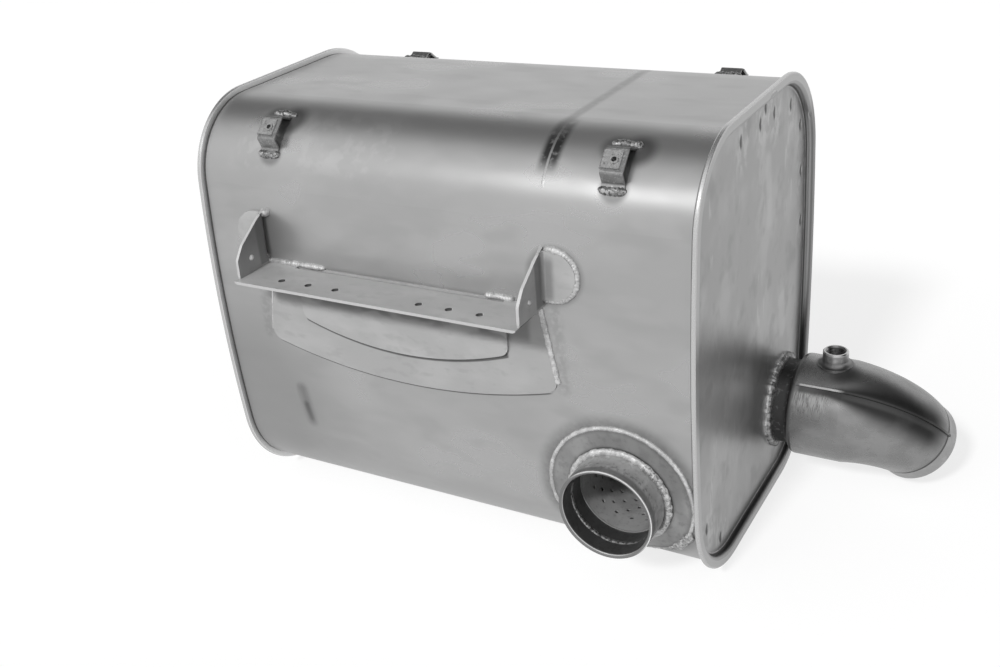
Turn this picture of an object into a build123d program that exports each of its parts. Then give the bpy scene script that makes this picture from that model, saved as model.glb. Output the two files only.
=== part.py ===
from build123d import *
import math
import os

# Truck exhaust muffler with an elbow outlet and a folded mounting bracket.
# Millimetres and degrees. X runs along the body, the inlet faces -Y, Z is up.
# Every piece is drawn round the middle of the body, and write_node moves it, so that
# the origin of the part is the centre of the inlet mouth.

# Body section
HALF_DEPTH = 229.5
HALF_HEIGHT = 298.0
CROWN_RADIUS = 2280.0
FRONT_TOP_RADIUS = 107.0
REAR_TOP_RADIUS = 136.0
FRONT_BOTTOM_RADIUS = 130.0
REAR_BOTTOM_RADIUS = 107.0

# Lock seams at both ends
BODY_HALF_LENGTH = 365.0
SHEET = 2.0
RIM_REACH = 8.0
RIM_EDGE_RADIUS = 2.0
RECESS_DEPTH = 10.0
RECESS_INSET = 8.0
RECESS_FOOT_RADIUS = 4.0
LIP_RADIUS = 5.0
SHELL_EDGE_RADIUS = 1.5

# Dent in the front of the shell
DENT_FROM_END = 120.0
DENT_FROM_BOTTOM = 177.0
DENT_X = DENT_FROM_END - BODY_HALF_LENGTH
DENT_Z = DENT_FROM_BOTTOM - HALF_HEIGHT
DENT_LENGTH = 88.0
DENT_WIDTH_RADIUS = 26.0
DENT_DEPTH = 1.1

# Spot welds between each end plate and the plate behind it, as (y, distance below the top)
# and as (y, distance above the bottom)
SPOT_WELDS_BELOW_TOP = [
    (-57.0, 35.0),
    (15.0, 35.0),
    (35.0, 19.0),
    (70.0, 36.0),
    (140.0, 45.0),
    (186.0, 86.0),
    (195.0, 154.0),
    (202.0, 231.0),
]
SPOT_WELDS_ABOVE_BOTTOM = [(-176.0, 80.0), (-125.0, 33.0)]
SPOT_WELDS = [(y, HALF_HEIGHT - drop) for y, drop in SPOT_WELDS_BELOW_TOP]
SPOT_WELDS += [(y, rise - HALF_HEIGHT) for y, rise in SPOT_WELDS_ABOVE_BOTTOM]
SPOT_DIAMETER = 13.0
SPOT_DEPTH = 0.8
INNER_PLATE_SHEET = 1.5
INNER_PLATE_INSET = 24.0

# Chambers
BAFFLE_LEFT_GAP = 107.0
BAFFLE_RIGHT_GAP = 199.0
BAFFLE_LEFT_X = BAFFLE_LEFT_GAP - BODY_HALF_LENGTH
BAFFLE_RIGHT_X = BODY_HALF_LENGTH - BAFFLE_RIGHT_GAP
BAFFLE_FLANGE = 14.0
BAFFLE_EDGE_RADIUS = 5.0
TRANSFER_RADIUS = 45.0
TRANSFER_FROM_TOP = 168.0
TRANSFER_FROM_BOTTOM = 208.0
TRANSFER_UPPER_YZ = (-20.0, HALF_HEIGHT - TRANSFER_FROM_TOP)
TRANSFER_LOWER_YZ = (-70.0, TRANSFER_FROM_BOTTOM - HALF_HEIGHT)
TRANSFER_OVERHANG = 21.0
WOOL_RADIUS = 80.0
CAN_SHEET = 1.5
SOUND_HOLE_DIAMETER = 10.0
SOUND_HOLE_RINGS = 3
SOUND_HOLES_PER_RING = 6

# Inlet
INLET_FROM_END = 106.8
INLET_FROM_BOTTOM = 139.8
INLET_REACH = 44.8
INLET_X = BODY_HALF_LENGTH - INLET_FROM_END
INLET_Z = INLET_FROM_BOTTOM - HALF_HEIGHT
INLET_MOUTH_Y = -HALF_DEPTH - INLET_REACH
INLET_RADIUS = 63.5
INLET_BORE_RADIUS = 58.2
INLET_LENGTH = 72.0
INLET_FREE_LENGTH = 40.0
INLET_LIP_RADIUS = 3.6
INLET_BEAD_DEPTH = 27.0
INLET_BEAD_HALF_WIDTH = 2.5
INLET_BEAD_HEIGHT = 1.0
INLET_DOUBLER_RADIUS = 97.5
INLET_COLLAR_RADIUS = 68.4
INLET_COLLAR_HEIGHT = 4.4

# Perforated tube behind the inlet
DIFFUSER_DEPTH = 51.0
DIFFUSER_FROM_REAR = 184.5
DIFFUSER_END_Y = HALF_DEPTH - DIFFUSER_FROM_REAR
DIFFUSER_WALL = 1.6
DIFFUSER_HOLE_DIAMETER = 5.0
DIFFUSER_FIRST_RING = 80.0
DIFFUSER_RING_PITCH = 13.0
DIFFUSER_RINGS = 5
DIFFUSER_HOLES_PER_RING = 16
CAP_RIM = 12.0

# Outlet elbow, in its own frame: x along the straight part, y towards the inside of the bend
OUTLET_FROM_REAR = 103.4
OUTLET_FROM_BOTTOM = 113.0
OUTLET_Y = HALF_DEPTH - OUTLET_FROM_REAR
OUTLET_Z = OUTLET_FROM_BOTTOM - HALF_HEIGHT
OUTLET_RADIUS = 60.0
ELBOW_SHEET = 1.5
ELBOW_RADIUS = 74.0
ELBOW_NECK_LENGTH = 22.0
ELBOW_SHOULDER_END = 37.1
ELBOW_STRAIGHT = 102.3
ELBOW_BEND_RADIUS = 84.6
ELBOW_BEND = 66.9
ELBOW_ROLL = 40.6
ELBOW_STATIONS = 7
SEAM_LIP = 2.6
NECK_OVERLAP = 18.0
SLEEVE_REACH = 22.0
SLEEVE_SEAT = 10.0

# Pipe ends are turned down by this much where they are seated in other pieces
SEAT_STEP = 0.7

# Sensor boss on the elbow
BOSS_FROM_PLATE = 78.5
BOSS_HEIGHT = 94.0
BOSS_X = BODY_HALF_LENGTH - RECESS_DEPTH + BOSS_FROM_PLATE
BOSS_TOP_Z = OUTLET_Z + BOSS_HEIGHT
BOSS_RADIUS = 17.8
BOSS_BORE_RADIUS = 11.0
BOSS_MOUTH_RADIUS = 14.5
BOSS_MOUTH_DEPTH = 3.0
BOSS_EDGE = 1.5
BOSS_FLARE = 7.0

# Mounting bracket; the outline of the ears is (distance behind the front edge, height over the underside)
BRACKET_X = -46.5
BRACKET_SHEET = 4.0
SHELF_FROM_TOP = 202.5
SHELF_REACH = 71.5
SHELF_TOP_Z = HALF_HEIGHT - SHELF_FROM_TOP
SHELF_FRONT_Y = -HALF_DEPTH - SHELF_REACH
EAR_FACE_OFFSET = 211.5
HOLE_FROM_EDGE = 24.0
HOLE_Y = SHELF_FRONT_Y + HOLE_FROM_EDGE
HOLE_DIAMETER = 10.0
HOLE_PITCH = 44.0
HOLE_GROUP_OFFSET = 108.5
HOLES_PER_GROUP = 3
EAR_OUTLINE = [(9.0, 0.0), (10.5, 29.5), (24.0, 46.5), (57.0, 68.5), (91.0, 86.5), (91.0, 0.0)]
EAR_CORNER_RADIUS = 11.0
EAR_HOLE_FROM_EDGE = 37.2
EAR_HOLE_RISE = 20.0
EAR_HOLE_DIAMETER = 8.5
EAR_BEND_RADIUS = 6.0
EAR_BEND_SINK = 0.25  # the bend reaches into the crown and is trimmed flush with it
SHELF_END_RADIUS = 6.0
FOOT_RISE = 40.5
FOOT_Z = SHELF_TOP_Z + FOOT_RISE
FOOT_RADIUS = 31.0
FOOT_LOBE_OFFSET = 228.5
FLANGE_HALF_WIDTH = 162.0
FLANGE_DROP = 102.5
FLANGE_BOTTOM_Z = SHELF_TOP_Z - FLANGE_DROP
FLANGE_ARC_RADIUS = 470.0
FLANGE_CORNER_RADIUS = 15.0
FLANGE_BEND_RADIUS = 5.0
FLANGE_OUTER_RADIUS = 8.0

# Thin plate under the bracket
DOUBLER_TOP_HALF = 207.0
DOUBLER_BOTTOM_HALF = 229.0
DOUBLER_DROP = 150.0
DOUBLER_BOTTOM_Z = SHELF_TOP_Z - DOUBLER_DROP
DOUBLER_ARC_RADIUS = 790.0
DOUBLER_CORNER_RADIUS = 18.0

# Bridge straps and their clip nuts
STRAP_FRONT_ANGLE = 46.0
STRAP_REAR_ANGLE = 52.0
STRAP_FRONT_LEFT_GAP = 120.0
STRAP_FRONT_RIGHT_GAP = 109.0
STRAP_REAR_LEFT_GAP = 127.0
STRAP_REAR_RIGHT_GAP = 100.0
STRAP_FRONT_LEFT_X = STRAP_FRONT_LEFT_GAP - BODY_HALF_LENGTH
STRAP_FRONT_RIGHT_X = BODY_HALF_LENGTH - STRAP_FRONT_RIGHT_GAP
STRAP_REAR_LEFT_X = STRAP_REAR_LEFT_GAP - BODY_HALF_LENGTH
STRAP_REAR_RIGHT_X = BODY_HALF_LENGTH - STRAP_REAR_RIGHT_GAP
STRAP_WIDTH = 29.0
STRAP_HEIGHT = 14.5
STRAP_TOP_HALF = 16.5
STRAP_FOOT_MIDDLE = 27.0
STRAP_FOOT_HALF = 5.0
STRAP_BEND_RADIUS = 3.0
STRAP_HOLE_RADIUS = 6.0
NUT_SHIFT = -4.0
NUT_WIDTH = 25.0
NUT_HEIGHT = 24.0
NUT_SHEET = 1.0
NUT_COLLAR_RADIUS = 5.4
NUT_BORE_RADIUS = 3.2
NUT_COLLAR_RISE = 1.3
NUT_COLLAR_DROP = 5.0
NUT_LIP = 2.2

# Cuts run this far past the faces they open
PAST = 5.0

END_FACE_X = BODY_HALF_LENGTH - RECESS_DEPTH
RIM_BACK_X = BODY_HALF_LENGTH - 3 * SHEET
CROWN_CENTRE = CROWN_RADIUS - HALF_DEPTH
FRONT = -1
REAR = 1


def corner_points(side_y, side_z, radius, offset):
    """Flat end, middle and crown end of one corner of the section, moved out by offset."""
    centre_z = side_z * (HALF_HEIGHT - radius)
    reach = CROWN_RADIUS - radius
    centre_y = side_y * (math.sqrt(reach**2 - centre_z**2) - CROWN_CENTRE)
    centre = Vector(centre_y, centre_z)
    to_flat = Vector(0, side_z)
    to_crown = (centre - Vector(-side_y * CROWN_CENTRE, 0)).normalized()
    to_middle = (to_flat + to_crown).normalized()
    size = radius + offset
    return [centre + to_flat * size, centre + to_middle * size, centre + to_crown * size]


def body_block(offset, x_from, x_to):
    """Solid between two planes of X with the body section moved out by offset."""
    front_top = corner_points(FRONT, 1, FRONT_TOP_RADIUS, offset)
    front_bottom = corner_points(FRONT, -1, FRONT_BOTTOM_RADIUS, offset)
    rear_top = corner_points(REAR, 1, REAR_TOP_RADIUS, offset)
    rear_bottom = corner_points(REAR, -1, REAR_BOTTOM_RADIUS, offset)
    outline = [
        ThreePointArc(*front_top),
        ThreePointArc(front_top[2], (-HALF_DEPTH - offset, 0), front_bottom[2]),
        ThreePointArc(*reversed(front_bottom)),
        Line(front_bottom[0], rear_bottom[0]),
        ThreePointArc(*rear_bottom),
        ThreePointArc(rear_bottom[2], (HALF_DEPTH + offset, 0), rear_top[2]),
        ThreePointArc(*reversed(rear_top)),
        Line(rear_top[0], front_top[0]),
    ]
    section = Pos(x_from, 0, 0) * (Plane.YZ * make_face(outline))
    return extrude(section, amount=x_to - x_from, dir=(1, 0, 0))


def body_layer(inner, outer, x_from, x_to):
    """Ring between two offsets of the body section."""
    return body_block(outer, x_from, x_to) - body_block(inner, x_from - PAST, x_to + PAST)


def rod_x(radius, x_from, x_to, y, z):
    """Round bar along X."""
    return Pos((x_from + x_to) / 2, y, z) * (Rot(0, 90, 0) * Cylinder(radius, x_to - x_from))


def tube_x(radius, wall, x_from, x_to, y, z):
    """Round tube along X."""
    return rod_x(radius, x_from, x_to, y, z) - rod_x(radius - wall, x_from - PAST, x_to + PAST, y, z)


def rod_y(radius, y_from, y_to, x, z):
    """Round bar along Y."""
    return Pos(x, (y_from + y_to) / 2, z) * (Rot(90, 0, 0) * Cylinder(radius, y_to - y_from))


def edges_at_x(part, x):
    """All the edges that lie in the plane of the given X."""
    return part.edges().filter_by_position(Axis.X, x, x, inclusive=(True, True))


def shell_dent():
    """Long shallow hollow, cut by a slim upright spindle."""
    surface_y = CROWN_CENTRE - math.sqrt(CROWN_RADIUS**2 - DENT_Z**2)
    axis_y = surface_y - DENT_WIDTH_RADIUS + DENT_DEPTH
    side = ThreePointArc((0, -DENT_LENGTH), (DENT_WIDTH_RADIUS, 0), (0, DENT_LENGTH))
    half = make_face([side, Line((0, DENT_LENGTH), (0, -DENT_LENGTH))])
    spindle = revolve(Plane.XZ * half, Axis.Z)
    return Pos(DENT_X, axis_y, DENT_Z) * spindle


def shell():
    """Sheet wrap with both edges turned out into the seams."""
    edge_x = BODY_HALF_LENGTH - SHEET
    wrap = body_block(0, -edge_x, edge_x)
    for side in (-1, 1):
        ends = sorted([side * edge_x, side * (edge_x - SHEET)])
        wrap += body_block(RIM_REACH - SHEET, ends[0], ends[1])
    wrap -= body_block(-SHEET, -edge_x - PAST, edge_x + PAST)
    for face in (wrap.faces().sort_by(Axis.X)[0], wrap.faces().sort_by(Axis.X)[-1]):
        wrap = fillet(face.inner_wires()[0].edges(), SHELL_EDGE_RADIUS)
    wrap -= rod_y(INLET_RADIUS - SEAT_STEP, INLET_MOUTH_Y, 0, INLET_X, INLET_Z)
    wrap -= shell_dent()
    return wrap


def end_plate():
    """Right end plate: recessed disc, drawn wall and rim folded round the shell edge."""
    disc_back_x = END_FACE_X - SHEET
    fold_x = BODY_HALF_LENGTH - SHEET
    inside = RECESS_INSET - SHEET

    rim = body_block(RIM_REACH, RIM_BACK_X, BODY_HALF_LENGTH)
    rim = fillet(edges_at_x(rim, RIM_BACK_X) + edges_at_x(rim, BODY_HALF_LENGTH), RIM_EDGE_RADIUS)
    cup = body_block(-inside, disc_back_x, fold_x)
    cup = fillet(edges_at_x(cup, disc_back_x), RECESS_FOOT_RADIUS + SHEET)
    plate = rim - body_block(0, RIM_BACK_X - PAST, fold_x)
    plate -= body_block(RIM_REACH - SHEET, fold_x - SHEET, fold_x)
    plate += cup

    recess = body_block(-RECESS_INSET, END_FACE_X, BODY_HALF_LENGTH + PAST)
    plate -= fillet(edges_at_x(recess, END_FACE_X), RECESS_FOOT_RADIUS)
    front = plate.faces().sort_by(Axis.X)[-1]
    plate = fillet(front.inner_wires()[0].edges(), LIP_RADIUS)

    ball = ((SPOT_DIAMETER / 2) ** 2 + SPOT_DEPTH**2) / (2 * SPOT_DEPTH)
    for y, z in SPOT_WELDS:
        plate -= Pos(END_FACE_X + ball - SPOT_DEPTH, y, z) * Sphere(ball)
    return plate


def inner_plate():
    """Stiffening plate flat against the inside of the right end plate."""
    outer_x = END_FACE_X - SHEET
    return body_block(-INNER_PLATE_INSET, outer_x - INNER_PLATE_SHEET, outer_x)


def outlet_opening():
    """Bar that cuts the way of the outlet tube."""
    return rod_x(OUTLET_RADIUS, BAFFLE_LEFT_X - PAST, BODY_HALF_LENGTH + PAST, OUTLET_Y, OUTLET_Z)


def baffle(x, flange_side):
    """Chamber wall with a flange that lies against the inside of the shell."""
    near_x = x - flange_side * SHEET / 2
    far_x = near_x + flange_side * BAFFLE_FLANGE
    block = body_block(-SHEET, min(near_x, far_x), max(near_x, far_x))
    block = fillet(edges_at_x(block, near_x), BAFFLE_EDGE_RADIUS)
    floor_x = near_x + flange_side * SHEET
    end_x = far_x + flange_side * PAST
    hollow = body_block(-2 * SHEET, min(floor_x, end_x), max(floor_x, end_x))
    block -= fillet(edges_at_x(hollow, floor_x), BAFFLE_EDGE_RADIUS - SHEET)
    block -= outlet_opening()
    for y, z in (TRANSFER_UPPER_YZ, TRANSFER_LOWER_YZ):
        block -= rod_x(TRANSFER_RADIUS, x - BAFFLE_FLANGE, x + BAFFLE_FLANGE, y, z)
    return block


def transfer_tube(place):
    """Open tube through both baffles."""
    left = BAFFLE_LEFT_X - TRANSFER_OVERHANG
    right = BAFFLE_RIGHT_X + TRANSFER_OVERHANG
    return tube_x(TRANSFER_RADIUS, SHEET, left, right, place[0], place[1])


def outlet_tube():
    """Tube from the left chamber to the elbow, perforated where the wool lies round it."""
    left = BAFFLE_LEFT_X - TRANSFER_OVERHANG
    tube = tube_x(OUTLET_RADIUS, SHEET, left, END_FACE_X + NECK_OVERLAP, OUTLET_Y, OUTLET_Z)
    pitch = (BAFFLE_RIGHT_X - BAFFLE_LEFT_X) / (SOUND_HOLE_RINGS + 1)
    for ring in range(SOUND_HOLE_RINGS):
        x = BAFFLE_LEFT_X + pitch * (ring + 1)
        for hole in range(SOUND_HOLES_PER_RING):
            angle = 360 * hole / SOUND_HOLES_PER_RING
            bar = Pos(0, 0, OUTLET_RADIUS) * Cylinder(SOUND_HOLE_DIAMETER / 2, 2 * PAST)
            tube -= Pos(x, OUTLET_Y, OUTLET_Z) * (Rot(angle, 0, 0) * bar)
    return tube


def wool_part(radius, wall):
    """Ring round the outlet tube that fills the middle chamber from baffle to baffle."""
    left = BAFFLE_LEFT_X + SHEET / 2
    right = BAFFLE_RIGHT_X - SHEET / 2
    return tube_x(radius, wall, left, right, OUTLET_Y, OUTLET_Z)


def inlet_doubler():
    """Round plate that follows the shell round its lower corner, with a raised collar."""
    x_from = INLET_X - INLET_DOUBLER_RADIUS - PAST
    x_to = INLET_X + INLET_DOUBLER_RADIUS + PAST
    disc = rod_y(INLET_DOUBLER_RADIUS, INLET_MOUTH_Y, 0, INLET_X, INLET_Z)
    ring = rod_y(INLET_COLLAR_RADIUS, INLET_MOUTH_Y, 0, INLET_X, INLET_Z)
    plate = body_layer(0, SHEET, x_from, x_to) & disc
    plate += body_layer(0, SHEET + INLET_COLLAR_HEIGHT, x_from, x_to) & ring
    plate -= rod_y(INLET_RADIUS - SEAT_STEP, INLET_MOUTH_Y, 0, INLET_X, INLET_Z)
    free_end_y = INLET_MOUTH_Y + INLET_FREE_LENGTH
    return plate - rod_y(INLET_RADIUS, INLET_MOUTH_Y, free_end_y, INLET_X, INLET_Z)


def inlet_ring(points):
    """Ring turned round the inlet axis from (radius, depth behind the mouth) edges."""
    frame = Plane(origin=(INLET_X, INLET_MOUTH_Y, INLET_Z), x_dir=(1, 0, 0), z_dir=(0, 0, 1))
    return revolve(frame * make_face(points), Axis((INLET_X, INLET_MOUTH_Y, INLET_Z), (0, 1, 0)))


def inlet_pipe():
    """Short pipe with a rounded mouth and a low bead inside."""
    seat = INLET_RADIUS - SEAT_STEP
    bead_from = INLET_BEAD_DEPTH - INLET_BEAD_HALF_WIDTH
    bead_to = INLET_BEAD_DEPTH + INLET_BEAD_HALF_WIDTH
    bead_top = INLET_BORE_RADIUS - INLET_BEAD_HEIGHT
    edges = [
        Line((INLET_BORE_RADIUS, 0), (INLET_BORE_RADIUS, bead_from)),
        ThreePointArc(
            (INLET_BORE_RADIUS, bead_from), (bead_top, INLET_BEAD_DEPTH), (INLET_BORE_RADIUS, bead_to)
        ),
        Line((INLET_BORE_RADIUS, bead_to), (INLET_BORE_RADIUS, INLET_LENGTH)),
        Line((INLET_BORE_RADIUS, INLET_LENGTH), (seat, INLET_LENGTH)),
        Line((seat, INLET_LENGTH), (seat, INLET_FREE_LENGTH)),
        Line((seat, INLET_FREE_LENGTH), (INLET_RADIUS, INLET_FREE_LENGTH)),
        Line((INLET_RADIUS, INLET_FREE_LENGTH), (INLET_RADIUS, 0)),
        Line((INLET_RADIUS, 0), (INLET_BORE_RADIUS, 0)),
    ]
    pipe = inlet_ring(edges)
    mouth = pipe.faces().sort_by(Axis.Y)[0]
    return fillet(mouth.inner_wires()[0].edges(), INLET_LIP_RADIUS)


def inlet_diffuser():
    """Perforated tube that starts inside the inlet pipe."""
    start_y = INLET_MOUTH_Y + DIFFUSER_DEPTH
    tube = rod_y(INLET_BORE_RADIUS, start_y, DIFFUSER_END_Y, INLET_X, INLET_Z)
    bore = INLET_BORE_RADIUS - DIFFUSER_WALL
    tube -= rod_y(bore, start_y - PAST, DIFFUSER_END_Y + PAST, INLET_X, INLET_Z)
    step = 360 / DIFFUSER_HOLES_PER_RING
    bars = []
    for ring in range(DIFFUSER_RINGS):
        y = INLET_MOUTH_Y + DIFFUSER_FIRST_RING + ring * DIFFUSER_RING_PITCH
        for hole in range(DIFFUSER_HOLES_PER_RING):
            angle = step * (hole + ring % 2 / 2)
            bar = Pos(0, 0, INLET_BORE_RADIUS) * Cylinder(DIFFUSER_HOLE_DIAMETER / 2, 2 * PAST)
            bars.append(Pos(INLET_X, y, INLET_Z) * (Rot(0, angle, 0) * bar))
    return tube - bars


def diffuser_cap():
    """Pressed cap inside the far end of the perforated tube."""
    outer = INLET_BORE_RADIUS - DIFFUSER_WALL
    front_y = DIFFUSER_END_Y - CAP_RIM
    cap = rod_y(outer, front_y, DIFFUSER_END_Y, INLET_X, INLET_Z)
    cap = fillet(cap.faces().sort_by(Axis.Y)[0].edges(), DIFFUSER_WALL)
    inner = outer - DIFFUSER_WALL
    return cap - rod_y(inner, front_y + DIFFUSER_WALL, DIFFUSER_END_Y + PAST, INLET_X, INLET_Z)


def elbow_frame():
    """Frame of the elbow: x along its straight part, y towards the inside of the bend."""
    roll = math.radians(ELBOW_ROLL)
    origin = (END_FACE_X, OUTLET_Y, OUTLET_Z)
    return Plane(origin=origin, x_dir=(1, 0, 0), z_dir=(0, math.cos(roll), math.sin(roll)))


def bend_plane(turn):
    """Section plane of the elbow after the given turn of the bend, in its own frame."""
    angle = math.radians(turn)
    x = ELBOW_STRAIGHT + ELBOW_BEND_RADIUS * math.sin(angle)
    y = ELBOW_BEND_RADIUS * (1 - math.cos(angle))
    out = (math.sin(angle), -math.cos(angle), 0)
    along = (math.cos(angle), math.sin(angle), 0)
    return Plane(origin=(x, y, 0), x_dir=out, z_dir=along)


def straight_plane(x):
    """Section plane of the straight part of the elbow, in its own frame."""
    return Plane(origin=(x, 0, 0), x_dir=(0, -1, 0), z_dir=(1, 0, 0))


def half_section(radius):
    """Half ring with a seam lip at each end, drawn on its own plane."""
    bore = radius - ELBOW_SHEET
    tip = radius + SEAM_LIP
    start = math.sqrt(radius**2 - ELBOW_SHEET**2)
    return make_face(
        [
            Line((bore, 0), (tip, 0)),
            Line((tip, 0), (tip, ELBOW_SHEET)),
            Line((tip, ELBOW_SHEET), (start, ELBOW_SHEET)),
            ThreePointArc((start, ELBOW_SHEET), (0, radius), (-start, ELBOW_SHEET)),
            Line((-start, ELBOW_SHEET), (-tip, ELBOW_SHEET)),
            Line((-tip, ELBOW_SHEET), (-tip, 0)),
            Line((-tip, 0), (-bore, 0)),
            ThreePointArc((-bore, 0), (0, bore), (bore, 0)),
        ]
    )


def elbow_half():
    """Front half of the elbow in its own frame: neck, shoulder, straight part and bend."""
    neck = OUTLET_RADIUS + ELBOW_SHEET
    middle = ((ELBOW_NECK_LENGTH + ELBOW_SHOULDER_END) / 2, (neck + ELBOW_RADIUS) / 2)
    wall = [
        Line((0, neck), (ELBOW_NECK_LENGTH, neck)),
        TangentArc((ELBOW_NECK_LENGTH, neck), middle, tangent=(1, 0)),
    ]
    wall.append(TangentArc((ELBOW_SHOULDER_END, ELBOW_RADIUS), middle, tangent=(-1, 0)))
    bore_end = (ELBOW_SHOULDER_END, ELBOW_RADIUS - ELBOW_SHEET)
    bore_middle = (middle[0] + ELBOW_SHEET / 2, middle[1] - ELBOW_SHEET)
    wall += [
        Line((ELBOW_SHOULDER_END, ELBOW_RADIUS), bore_end),
        TangentArc(bore_end, bore_middle, tangent=(-1, 0)),
        TangentArc((ELBOW_NECK_LENGTH, OUTLET_RADIUS), bore_middle, tangent=(1, 0)),
        Line((ELBOW_NECK_LENGTH, OUTLET_RADIUS), (0, OUTLET_RADIUS)),
        Line((0, OUTLET_RADIUS), (0, neck)),
    ]
    shoulder = revolve(make_face(wall), Axis.X, revolution_arc=-180)

    straight = extrude(
        straight_plane(ELBOW_SHOULDER_END) * half_section(ELBOW_RADIUS),
        amount=ELBOW_STRAIGHT - ELBOW_SHOULDER_END,
    )
    sections = []
    end_radius = OUTLET_RADIUS - SEAT_STEP + ELBOW_SHEET
    for station in range(ELBOW_STATIONS + 1):
        share = station / ELBOW_STATIONS
        radius = ELBOW_RADIUS + (end_radius - ELBOW_RADIUS) * share
        sections.append(bend_plane(ELBOW_BEND * share) * half_section(radius))
    return shoulder + (straight + loft(sections))


def outlet_elbow_front():
    """Half of the elbow that faces forwards and down."""
    return elbow_frame().location * elbow_half()


def outlet_elbow_rear():
    """Half of the elbow that faces backwards and up, with the hole under the boss."""
    half = elbow_frame().location * mirror(elbow_half(), about=Plane.XY)
    top = Pos(BOSS_X, OUTLET_Y, OUTLET_Z + ELBOW_RADIUS) * Cylinder(BOSS_BORE_RADIUS, 4 * PAST)
    return half - top


def outlet_sleeve():
    """Straight end ring that sits in the mouth of the elbow."""
    plane = bend_plane(ELBOW_BEND)
    length = SLEEVE_SEAT + SLEEVE_REACH
    ring = Pos(0, 0, SLEEVE_REACH / 2) * Cylinder(OUTLET_RADIUS, SLEEVE_REACH)
    ring += Pos(0, 0, -SLEEVE_SEAT / 2) * Cylinder(OUTLET_RADIUS - SEAT_STEP, SLEEVE_SEAT)
    ring -= Pos(0, 0, length / 2 - SLEEVE_SEAT) * Cylinder(OUTLET_RADIUS - SHEET, length + PAST)
    ring = plane.location * ring
    return elbow_frame().location * ring


def sensor_boss():
    """Threaded boss, flared at the foot and seated on the round of the elbow."""
    foot_z = OUTLET_Z + ELBOW_RADIUS
    flare_z = foot_z + BOSS_FLARE
    low_z = OUTLET_Z
    wide = BOSS_RADIUS + BOSS_FLARE
    flare_centre = Vector(wide, flare_z)
    bulge = flare_centre + Vector(-1, -1).normalized() * BOSS_FLARE
    edges = [
        Line((BOSS_BORE_RADIUS, low_z), (wide, low_z)),
        Line((wide, low_z), (wide, foot_z)),
        ThreePointArc((wide, foot_z), bulge, (BOSS_RADIUS, flare_z)),
        Line((BOSS_RADIUS, flare_z), (BOSS_RADIUS, BOSS_TOP_Z - BOSS_EDGE)),
        Line((BOSS_RADIUS, BOSS_TOP_Z - BOSS_EDGE), (BOSS_RADIUS - BOSS_EDGE, BOSS_TOP_Z)),
        Line((BOSS_RADIUS - BOSS_EDGE, BOSS_TOP_Z), (BOSS_MOUTH_RADIUS, BOSS_TOP_Z)),
        Line((BOSS_MOUTH_RADIUS, BOSS_TOP_Z), (BOSS_BORE_RADIUS, BOSS_TOP_Z - BOSS_MOUTH_DEPTH)),
        Line((BOSS_BORE_RADIUS, BOSS_TOP_Z - BOSS_MOUTH_DEPTH), (BOSS_BORE_RADIUS, low_z)),
    ]
    boss = revolve(Plane.XZ * make_face(edges), Axis.Z)
    boss = Pos(BOSS_X, OUTLET_Y, 0) * boss
    return boss - rod_x(ELBOW_RADIUS, BOSS_X - 2 * wide, BOSS_X + 2 * wide, OUTLET_Y, OUTLET_Z)


def prism_y(face):
    """Bar along Y through the front wall of the body, from a face drawn as (x, z)."""
    placed = Pos(0, SHELF_FRONT_Y, 0) * (Plane.XZ * face)
    return extrude(placed, amount=-SHELF_FRONT_Y, dir=(0, 1, 0))


def apron_face(top_z, top_half, bottom_half, bottom_z, arc_radius, corner_radius):
    """Plate outline with straight sides, a long bottom arc and rounded lower corners."""
    corner_z = bottom_z + arc_radius - math.sqrt(arc_radius**2 - bottom_half**2)
    left = BRACKET_X - bottom_half
    right = BRACKET_X + bottom_half
    face = make_face(
        [
            Line((BRACKET_X - top_half, top_z), (BRACKET_X + top_half, top_z)),
            Line((BRACKET_X + top_half, top_z), (right, corner_z)),
            ThreePointArc((right, corner_z), (BRACKET_X, bottom_z), (left, corner_z)),
            Line((left, corner_z), (BRACKET_X - top_half, top_z)),
        ]
    )
    return fillet(face.vertices().sort_by(Axis.Y)[:2], corner_radius)


def bracket_doubler():
    """Thin plate on the crowned front of the shell."""
    face = apron_face(
        SHELF_TOP_Z,
        DOUBLER_TOP_HALF,
        DOUBLER_BOTTOM_HALF,
        DOUBLER_BOTTOM_Z,
        DOUBLER_ARC_RADIUS,
        DOUBLER_CORNER_RADIUS,
    )
    x_from = BRACKET_X - DOUBLER_BOTTOM_HALF - PAST
    x_to = BRACKET_X + DOUBLER_BOTTOM_HALF + PAST
    return body_layer(0, SHEET, x_from, x_to) & prism_y(face)


def bracket_box(x_from, x_to, z_from, z_to):
    """Straight bar from the front edge of the bracket into the body."""
    size = (x_to - x_from, -SHELF_FRONT_Y, z_to - z_from)
    return Pos((x_from + x_to) / 2, SHELF_FRONT_Y / 2, (z_from + z_to) / 2) * Box(*size)


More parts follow.
